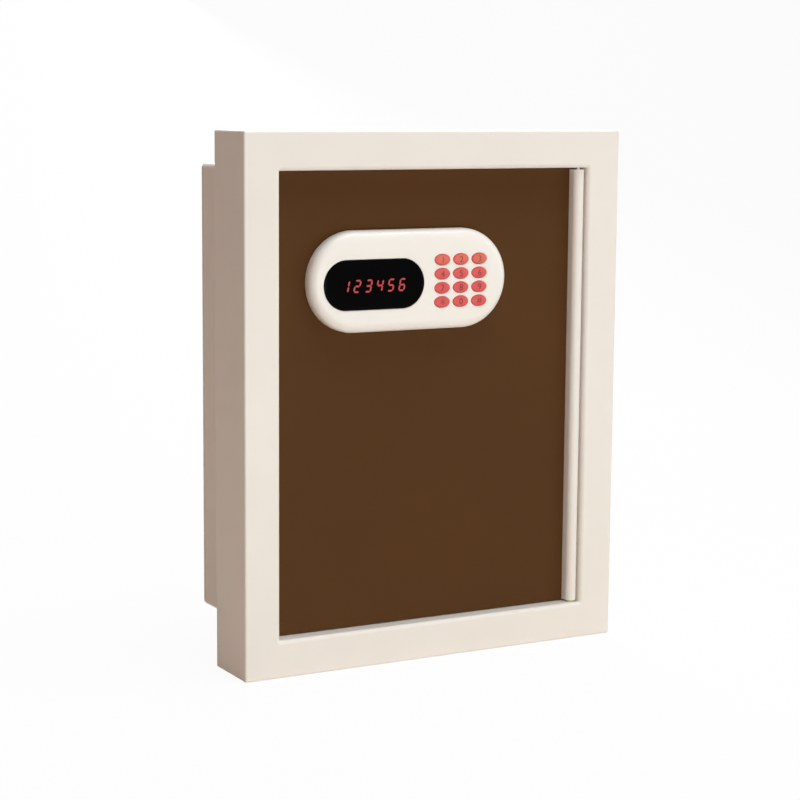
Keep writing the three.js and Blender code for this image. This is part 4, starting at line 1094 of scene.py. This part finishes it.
class KeypadShell(bpy.types.Operator):
    """Mould the keypad's shell, with its swelling front and its openings"""

    bl_idname = "hotel_safe.keypad_shell"
    bl_label = "Keypad shell"

    def execute(self, context):
        sizes = context.scene.safe_keypad
        keys = context.scene.safe_keys
        low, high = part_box("keypad_housing")
        x, _, z = middle_of("keypad_housing")
        radius = (high.z - low.z) / 2
        reach = (high.x - low.x) / 2 - radius
        lip = low.y + sizes.crown + sizes.round_back

        def crown(inward):
            """How far the front swells at that distance from its side."""
            return sizes.crown * (1 - (1 - min(inward / radius, 1)) ** 2)

        loops = [slot_loop(high.y, x, z, reach, radius)]
        fullness = 2.3
        power = 2 / fullness
        for angle in quarter_turn(14):
            inward = sizes.round_in * (1 - math.cos(angle) ** power)
            y = lip - sizes.round_back * math.sin(angle) ** power - crown(inward)
            loops.append(slot_loop(y, x, z, reach, radius - inward))
        points, faces = skin(loops, False)
        faces = faces[:-2]

        holes = [self.window_hole(sizes)]
        holes += [self.key_hole(node, keys.flange, sizes.hole_gap) for node in key_nodes()]
        outline = slot_outline(x, z, reach, radius - sizes.round_in)
        margin = 0.45 * sizes.spacing

        def keep(point):
            """Whether a point of the net is clear of the rim and the openings."""
            near_rim = inside_slot(point, x, z, reach) > radius - sizes.round_in - margin
            return not near_rim and not any(inside_outline(point, hole, margin) for hole in holes)

        front, triangles = filled_front(outline, holes, sizes.spacing, keep)
        first = len(points)
        for px, pz in front:
            inward = radius - inside_slot((px, pz), x, z, reach)
            points.append((px, lip - sizes.round_back - crown(inward), pz))
        for triangle in triangles:
            centre = middle_of_face(front, triangle)
            off_front = inside_slot(centre, x, z, reach) > radius - sizes.round_in
            if not off_front and not any(inside_outline(centre, hole, 0) for hole in holes):
                faces.append(tuple(first + i for i in triangle))
        piece = mesh_piece("keypad_shell", points, faces)
        if piece.data.polygons[0].normal.dot(piece.data.polygons[0].center - Vector((x, high.y, z))) < 0:
            piece.data.flip_normals()
        wall = piece.modifiers.new("Wall", "SOLIDIFY")
        wall.thickness = sizes.wall
        wall.offset = -1
        wall.use_even_offset = True
        bevel(piece, sizes.edge, segments=3, angle=math.radians(60))
        settle(piece, "door", "cream_plastic", "cream_plastic", ("keypad_housing",), weighted=False)
        return {"FINISHED"}

    def window_hole(self, sizes):
        """The opening round the window."""
        low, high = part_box("display_window")
        x, _, z = middle_of("display_window")
        radius = (high.z - low.z) / 2 - sizes.flange + sizes.hole_gap
        reach = (high.x - low.x - high.z + low.z) / 2
        return slot_outline(x, z, reach, radius, arc_steps=32, side_steps=20)

    def key_hole(self, node, flange, gap):
        """The opening round a key."""
        low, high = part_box(node)
        x, _, z = middle_of(node)
        half_x = (high.x - low.x) / 2 - flange + gap
        half_z = (high.z - low.z) / 2 - flange + gap
        return oval_outline(x, z, half_x, half_z)


def key_nodes():
    """The keys' nodes in the order of their rows, from the upper left."""
    nodes = [node for node in frame["nodes"] if node.startswith("key_") and node != "key_mat"]

    def row_then_column(node):
        x, _, z = middle_of(node)
        return -round(z, 4), round(x, 4)

    return sorted(nodes, key=row_then_column)


def inside_outline(point, outline, margin):
    """True where a point is in an outline that bulges outwards all round, or within the margin of it."""
    count = len(outline)
    for i in range(count):
        (ax, az), (bx, bz) = outline[i], outline[(i + 1) % count]
        length = math.hypot(bx - ax, bz - az)
        if ((bx - ax) * (point[1] - az) - (bz - az) * (point[0] - ax)) / length < -margin:
            return False
    return True


class DisplayWindow(bpy.types.Operator):
    """Grind the window's gloss lens, with its ground edge"""

    bl_idname = "hotel_safe.display_window"
    bl_label = "Display window"

    def execute(self, context):
        sizes = context.scene.safe_keypad
        low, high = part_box("display_window")
        shell_low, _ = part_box("keypad_housing")
        x, _, z = middle_of("display_window")
        radius = (high.z - low.z) / 2 - sizes.flange
        reach = (high.x - low.x) / 2 - sizes.flange - radius
        sunk = 0.2 * MM
        proud = shell_low.y - low.y + sunk
        flange_front = high.y - 1.2 * MM
        loops = [
            slot_loop(high.y, x, z, reach, radius + sizes.flange),
            slot_loop(flange_front, x, z, reach, radius + sizes.flange),
            slot_loop(flange_front, x, z, reach, radius),
        ]
        for angle in quarter_turn(8):
            inward = sizes.bevel * (1 - math.cos(angle))
            y = low.y + proud * (1 - math.sin(angle))
            loops.append(slot_loop(y, x, z, reach, radius - inward))
        piece = mesh_piece("display_lens", *skin(loops, False))
        settle(piece, "door", "black_window", "black_window", ("display_window",))
        return {"FINISHED"}


# Strokes that each figure lights, from a to g: top, upper right, lower right, bottom, lower left,
# upper left and middle
LIT = {"1": "bc", "2": "abged", "3": "abgcd", "4": "fgbc", "5": "afgcd", "6": "afgedc"}


class DisplayDigits(bpy.types.Operator):
    """Light six leaning digits in the window"""

    bl_idname = "hotel_safe.display_digits"
    bl_label = "Lit digits"

    def execute(self, context):
        sizes = context.scene.safe_display
        low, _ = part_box("display_window")
        x, _, z = middle_of("display_window")
        x, z = x + sizes.across, z + sizes.up
        half_x = sizes.width / 2
        half_z = (sizes.height - sizes.stroke) / 2
        places = {
            "a": (0, half_z, 0), "b": (half_x, half_z / 2, 1), "c": (half_x, -half_z / 2, 1),
            "d": (0, -half_z, 0), "e": (-half_x, -half_z / 2, 1), "f": (-half_x, half_z / 2, 1),
            "g": (0, 0, 0),
        }
        points, upright = [], []
        y = low.y - sizes.depth / 2
        for order, strokes in enumerate(LIT.values()):
            centre = x + (order - (len(LIT) - 1) / 2) * sizes.pitch
            for stroke in strokes:
                across, up, stands = places[stroke]
                points.append((centre + across, y, z + up))
                upright.append(float(stands))
        gap = 0.35 * MM
        values = {
            "Stroke": sizes.stroke,
            "Depth": sizes.depth,
            "Flat length": sizes.width - gap,
            "Upright length": half_z - gap,
            "Lean": math.tan(sizes.slant),
            "Middle": z,
            "Material": finish_of("red_light"),
        }
        piece = grown_piece("display_digits", digit_tree(), points, values, {"upright": upright})
        settle(piece, "door", "red_light", weighted=False)
        return {"FINISHED"}


def cap_sizes(node, keys):
    """Seat, half sizes, side and crown of a key's cap."""
    low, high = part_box(node)
    x, _, z = middle_of(node)
    shell_low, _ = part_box("keypad_housing")
    seat = Vector((x, shell_low.y + keys.seat, z))
    half_x = (high.x - low.x) / 2 - keys.flange
    half_z = (high.z - low.z) / 2 - keys.flange
    side = keys.seat + keys.wall
    return seat, half_x, half_z, side, seat.y - side - low.y


class Keys(bpy.types.Operator):
    """Mould the twelve keys' caps"""

    bl_idname = "hotel_safe.keys"
    bl_label = "Keys"

    def execute(self, context):
        keys = context.scene.safe_keys
        for node in key_nodes():
            seat, half_x, half_z, side, crown = cap_sizes(node, keys)
            values = {
                "Seat": seat,
                "Half length": half_x,
                "Half height": half_z,
                "Side": side,
                "Crown": crown,
                "Around": 64,
                "Rows": 14,
                "Material": finish_of("red_rubber"),
            }
            piece = grown_piece(node + "_cap", key_tree(), [], values)
            settle(piece, body_of(node), "red_rubber", "red_rubber", (node,), weighted=False)
        return {"FINISHED"}


class KeyFigures(bpy.types.Operator):
    """Print a figure on each key"""

    bl_idname = "hotel_safe.key_figures"
    bl_label = "Key figures"

    def execute(self, context):
        keys = context.scene.safe_keys
        for node in key_nodes():
            name = node.removeprefix("key_")
            text = {"star": "*", "hash": "#"}.get(name, name)
            self.print_figure(node, text, keys)
        return {"FINISHED"}

    def print_figure(self, node, text, keys):
        """Print that follows the key's crown, with its skins a little over and a little under it."""
        seat, half_x, half_z, side, crown = cap_sizes(node, keys)
        spacing = 0.4 * MM
        verts, faces = self.filled_figure(text, keys.figure, spacing)
        over, under = -0.8 * keys.lift, 0.4 * keys.lift
        points = []
        for depth in (over, under):
            for across, up in verts:
                radial = min(math.hypot(across / half_x, up / half_z), 1)
                face = seat.y - side - crown * math.sqrt(1 - radial ** 3)
                points.append((seat.x + across, face + depth, seat.z + up))
        count = len(verts)
        ways = {(face[i - 1], face[i]) for face in faces for i in range(3)}
        skins = [tuple(face) for face in faces]
        skins += [tuple(i + count for i in reversed(face)) for face in faces]
        skins += [(j, i, i + count, j + count) for i, j in sorted(ways) if (j, i) not in ways]
        printed = mesh_piece(node + "_figure", points, skins)
        settle(printed, body_of(node), "key_print", weighted=False)

    def filled_figure(self, text, height, spacing):
        """Points and small triangles that fill a figure of that height about its middle."""
        letter = bpy.data.curves.new("figure", "FONT")
        letter.body = text
        letter.resolution_u = 4
        source = scene_object("figure", letter)
        bpy.context.view_layer.update()
        graph = bpy.context.evaluated_depsgraph_get()
        build = bmesh.new()
        build.from_mesh(source.evaluated_get(graph).to_mesh())
        bmesh.ops.remove_doubles(build, verts=build.verts, dist=10 * TINY)
        rim = [[vertex.co.xy for vertex in edge.verts] for edge in build.edges if edge.is_boundary]
        build.free()
        bpy.data.objects.remove(source)
        bpy.data.curves.remove(letter)
        ends = [end for pair in rim for end in pair]
        low = Vector((min(p.x for p in ends), min(p.y for p in ends)))
        high = Vector((max(p.x for p in ends), max(p.y for p in ends)))
        least_height = 0.5
        scale = height / max(high.y - low.y, least_height)
        reach = (high - low) * scale / 2
        points, edges = [], []
        for start, end in rim:
            start = (start - (low + high) / 2) * scale
            end = (end - (low + high) / 2) * scale
            steps = math.ceil((end - start).length / spacing)
            edges += [(len(points) + i, len(points) + i + 1) for i in range(steps)]
            points += [start.lerp(end, i / steps) for i in range(steps + 1)]
        for row in range(-int(reach.y / spacing), int(reach.y / spacing) + 1):
            for column in range(-int(reach.x / spacing), int(reach.x / spacing) + 1):
                points.append(Vector(((column + row % 2 / 2) * spacing, row * spacing)))
        verts, _, faces, *_ = delaunay_2d_cdt(points, edges, [], 0, FILL_TINY)
        rim = [(points[i], points[j]) for i, j in edges]
        return verts, [face for face in faces if self.within(middle_of_face(verts, face), rim)]

    def within(self, place, rim):
        """Whether a line from that place to the right crosses the rim an odd number of times."""
        crossed = 0
        for a, b in rim:
            if (a.y > place.y) != (b.y > place.y):
                crossed += place.x < a.x + (place.y - a.y) * (b.x - a.x) / (b.y - a.y)
        return crossed % 2 == 1


class Bolts(bpy.types.Operator):
    """Turn the bolts, and finish the bar and the guides that they run in"""

    bl_idname = "hotel_safe.bolts"
    bl_label = "Bolts"

    def execute(self, context):
        bar_low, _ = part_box("bolt_bar")
        gap = 0.3 * MM
        for node in ("bolt_upper", "bolt_lower"):
            low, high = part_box(node)
            _, y, z = middle_of(node)
            radius = (high.y - low.y) / 2
            shoulder = bar_low.x - low.x - gap
            profile = self.bolt_profile(radius, shoulder, high.x - low.x)
            piece = turned_piece(node + "_rod", profile, Vector((1, 0, 0)), Vector((low.x, y, z)), 56)
            settle(piece, body_of(node), "zinc_steel", "zinc_steel", (node,))
        edge = context.scene.safe_frame.edge
        refined_copy("bolt_bar", "plate", edge / 2)
        refined_copy("bolt_guide_upper", "fold", edge / 2)
        refined_copy("bolt_guide_lower", "fold", edge / 2)
        return {"FINISHED"}

    def bolt_profile(self, radius, shoulder, length):
        """A chamfered tip, the rod up to its shoulder, a neck through the bar and a riveted head."""
        chamfer, soft, neck = 1.5 * MM, 0.1 * MM, 3 * MM
        rivet, rivet_radius, rivet_edge, rivet_face = 1.5 * MM, 4.5 * MM, 0.4 * MM, 4 * MM
        return (
            (TIP, 0), (radius - chamfer - 4 * soft, 0), (radius - chamfer, soft),
            (radius - soft, chamfer - soft), (radius, chamfer + 2 * soft),
            (radius, shoulder), (neck, shoulder), (neck, length - rivet),
            (rivet_radius, length - rivet), (rivet_radius, length - rivet_edge),
            (rivet_face, length), (TIP, length),
        )


class CoverScrews(bpy.types.Operator):
    """Drive the cover's four screws"""

    bl_idname = "hotel_safe.cover_screws"
    bl_label = "Cover screws"

    def execute(self, context):
        nodes = [node for node in frame["nodes"] if node.startswith("cover_screw_")]
        low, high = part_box(nodes[0])
        head = (high.x - low.x) / 2
        length = high.y - low.y
        shank, tip, taper = 1.9 * MM, 1.5 * MM, 0.5 * MM
        height, rim = 2.2 * MM, 0.6 * MM
        profile = [(TIP, 0), (tip, 0), (shank, taper), (shank, length - height)]
        profile += [(head, length - height), (head, length - height + rim)]
        for angle in quarter_turn(7, first=1):
            rise = (height - rim) * math.sin(angle)
            profile.append((max(head * math.cos(angle), TIP), length - height + rim + rise))
        screw = turned_piece("screw_pattern", profile, Vector((0, 1, 0)), Vector(), 40)
        self.recess(screw, length)
        places = [(x, low.y, z) for x, _, z in map(middle_of, nodes)]
        copies("cover_screws", screw, places, "zinc_steel", "door", "zinc_steel", nodes)
        return {"FINISHED"}

    def recess(self, screw, length):
        """The cross that a driver fits, narrower at its bottom."""
        deep, half, arm, narrowed, above = 1.3 * MM, 0.45 * MM, 2.1 * MM, 0.6, 1 * MM
        for half_x, half_z in ((arm, half), (half, arm)):
            corners = [(sx * half_x, sz * half_z) for sx, sz in CORNERS]
            lower = [(x * narrowed, length - deep, z * narrowed) for x, z in corners]
            upper = [(x, length + above, z) for x, z in corners]
            cut_away(screw, mesh_piece("driver_cross", *skin([lower, upper], False)))


class CarriedNodes(bpy.types.Operator):
    """Give every solid that stays as it is the finish of its slot"""

    bl_idname = "hotel_safe.carried_nodes"
    bl_label = "Inner solids"

    def execute(self, context):
        for name, node in frame["nodes"].items():
            node.data.materials.clear()
            node.data.materials.append(finish_of(slots[name]))
        return {"FINISHED"}


# Width and height of each soft box, in metres
LAMPS = {
    "main": (1.0, 0.8), "front": (0.75, 0.4), "low": (1.6, 0.10), "upper": (1.6, 1.2), "rear": (1.2, 1.2),
}


class Stage(bpy.types.Operator):
    """Set the floor, the lights and the camera"""

    bl_idname = "hotel_safe.stage"
    bl_label = "Floor, lights and camera"

    def execute(self, context):
        stage = context.scene.safe_stage
        self.floor(stage)
        self.surroundings(stage)
        middle = (cad_low + cad_high) / 2
        tone = linear(stage.lamp_tone)[:3]
        for name, (width, height) in LAMPS.items():
            place = Vector(getattr(stage, name + "_place"))
            self.lamp(name, middle, place, width, height, getattr(stage, name + "_watts"), tone)
        self.camera(stage)
        context.scene.view_settings.view_transform = "Standard"
        return {"FINISHED"}

    def floor(self, stage):
        """A wide pale floor that curves up behind the safe."""
        base = cad_low.z - stage.floor_gap
        half, near, back, radius, top = 6.0, -6.0, 2.2, 1.2, 5.0
        profile = [(near, base), (back - radius, base)]
        for angle in quarter_turn(24, first=1):
            y = back - radius + radius * math.sin(angle)
            profile.append((y, base + radius * (1 - math.cos(angle))))
        profile.append((back, base + top))
        points = [(x, y, z) for y, z in profile for x in (-half, half)]
        faces = [(2 * i, 2 * i + 1, 2 * i + 3, 2 * i + 2) for i in range(len(profile) - 1)]
        mesh = bpy.data.meshes.new("studio_floor")
        mesh.from_pydata(points, [], faces)
        mesh.shade_smooth()
        floor = scene_object("studio_floor", mesh)
        mesh.materials.append(self.floor_material(stage))

    def floor_material(self, stage):
        """Near white with a soft shadow where it is seen, and a little warm light thrown back."""
        material = bpy.data.materials.new("studio_floor")
        material.use_nodes = True
        tree = material.node_tree
        tree.nodes.clear()
        seen = self.seen_ray(tree)
        tones = {0: seen, 6: linear(stage.floor_tone), 7: (0.9, 0.9, 0.9, 1)}
        tone = add_node(tree, "ShaderNodeMix", tones, data_type="RGBA").outputs[2]
        diffuse = add_node(tree, "ShaderNodeBsdfDiffuse", {"Color": tone}).outputs[0]
        glow = add_node(tree, "ShaderNodeEmission", {"Color": (1, 1, 1, 1), "Strength": 1.0}).outputs[0]
        parts = {0: seen, 1: stage.floor_white}
        white = add_node(tree, "ShaderNodeMath", parts, operation="MULTIPLY").outputs[0]
        mix = add_node(tree, "ShaderNodeMixShader", {0: white, 1: diffuse, 2: glow}).outputs[0]
        add_node(tree, "ShaderNodeOutputMaterial", {"Surface": mix})
        return material

    def seen_ray(self, tree):
        """1 for what the camera, a mirror or a glass sees, 0 for light that falls on something."""
        path = add_node(tree, "ShaderNodeLightPath").outputs
        seen = path["Is Camera Ray"]
        for name in ("Is Glossy Ray", "Is Transmission Ray"):
            either = add_node(tree, "ShaderNodeMath", {0: seen, 1: path[name]}, operation="MAXIMUM")
            seen = either.outputs[0]
        return seen

    def surroundings(self, stage):
        """White where it is seen, and an even warm light where it falls."""
        world = bpy.data.worlds.new("studio")
        bpy.context.scene.world = world
        world.use_nodes = True
        tree = world.node_tree
        tree.nodes.clear()
        even = add_node(tree, "ShaderNodeBackground", {"Color": linear(stage.ambient)}).outputs[0]
        white = add_node(tree, "ShaderNodeBackground", {"Color": (1, 1, 1, 1)}).outputs[0]
        mix = add_node(tree, "ShaderNodeMixShader", {0: self.seen_ray(tree), 1: even, 2: white}).outputs[0]
        add_node(tree, "ShaderNodeOutputWorld", {"Surface": mix})

    def lamp(self, name, middle, place, width, height, watts, tone):
        """A soft box that faces the safe's middle from a place given from there."""
        light = bpy.data.lights.new(name + "_light", "AREA")
        light.shape = "RECTANGLE"
        light.size = width
        light.size_y = height
        light.energy = watts
        light.color = tone
        lamp = scene_object(name + "_light", light)
        lamp.location = middle + place
        lamp.rotation_euler = (-place).to_track_quat("-Z", "Y").to_euler()
        lamp.visible_camera = False

    def camera(self, stage):
        """The view of the photograph."""
        forward = Vector((
            math.sin(stage.yaw) * math.cos(stage.pitch),
            math.cos(stage.yaw) * math.cos(stage.pitch),
            math.sin(stage.pitch),
        ))
        level = Vector((math.cos(stage.yaw), -math.sin(stage.yaw), 0))
        upright = level.cross(forward)
        right = math.cos(stage.roll) * level + math.sin(stage.roll) * upright
        up = math.cos(stage.roll) * upright - math.sin(stage.roll) * level
        data = bpy.data.cameras.new("photo_view")
        data.lens = stage.lens
        data.sensor_width = stage.sensor
        camera = scene_object("photo_view", data)
        turn = Matrix((right, up, -forward)).transposed().to_4x4()
        camera.matrix_world = Matrix.Translation(Vector(stage.eye)) @ turn
        bpy.context.scene.camera = camera


OPERATORS = (
    FrontFrame, FixedSteel, Welds, DoorSteel, KeypadShell, DisplayWindow, DisplayDigits, Keys, KeyFigures,
    Bolts, CoverScrews, CarriedNodes, Stage,
)


class SafePanel(bpy.types.Panel):
    """The safe's sizes, colours and pieces"""

    bl_idname = "VIEW3D_PT_hotel_safe"
    bl_label = "Hotel safe"
    bl_space_type = "VIEW_3D"
    bl_region_type = "UI"
    bl_category = "Hotel safe"

    def draw(self, context):
        for name, group in GROUPS.items():
            box = self.layout.box()
            for label in group.__annotations__:
                box.prop(getattr(context.scene, name), label)
        for operator in OPERATORS:
            self.layout.operator(operator.bl_idname)


def register():
    """Adds the properties, the operators and the panel."""
    for name, group in GROUPS.items():
        bpy.utils.register_class(group)
        setattr(bpy.types.Scene, name, PointerProperty(type=group))
    for operator in OPERATORS:
        bpy.utils.register_class(operator)
    bpy.utils.register_class(SafePanel)


def unregister():
    """Takes them away again."""
    bpy.utils.unregister_class(SafePanel)
    for operator in reversed(OPERATORS):
        bpy.utils.unregister_class(operator)
    for name, group in reversed(GROUPS.items()):
        delattr(bpy.types.Scene, name)
        bpy.utils.unregister_class(group)


def main():
    """Builds the pieces and the stage."""
    register()
    for operator in OPERATORS:
        family, action = operator.bl_idname.split(".")
        getattr(getattr(bpy.ops, family), action)()


if __name__ == "__main__":
    main()
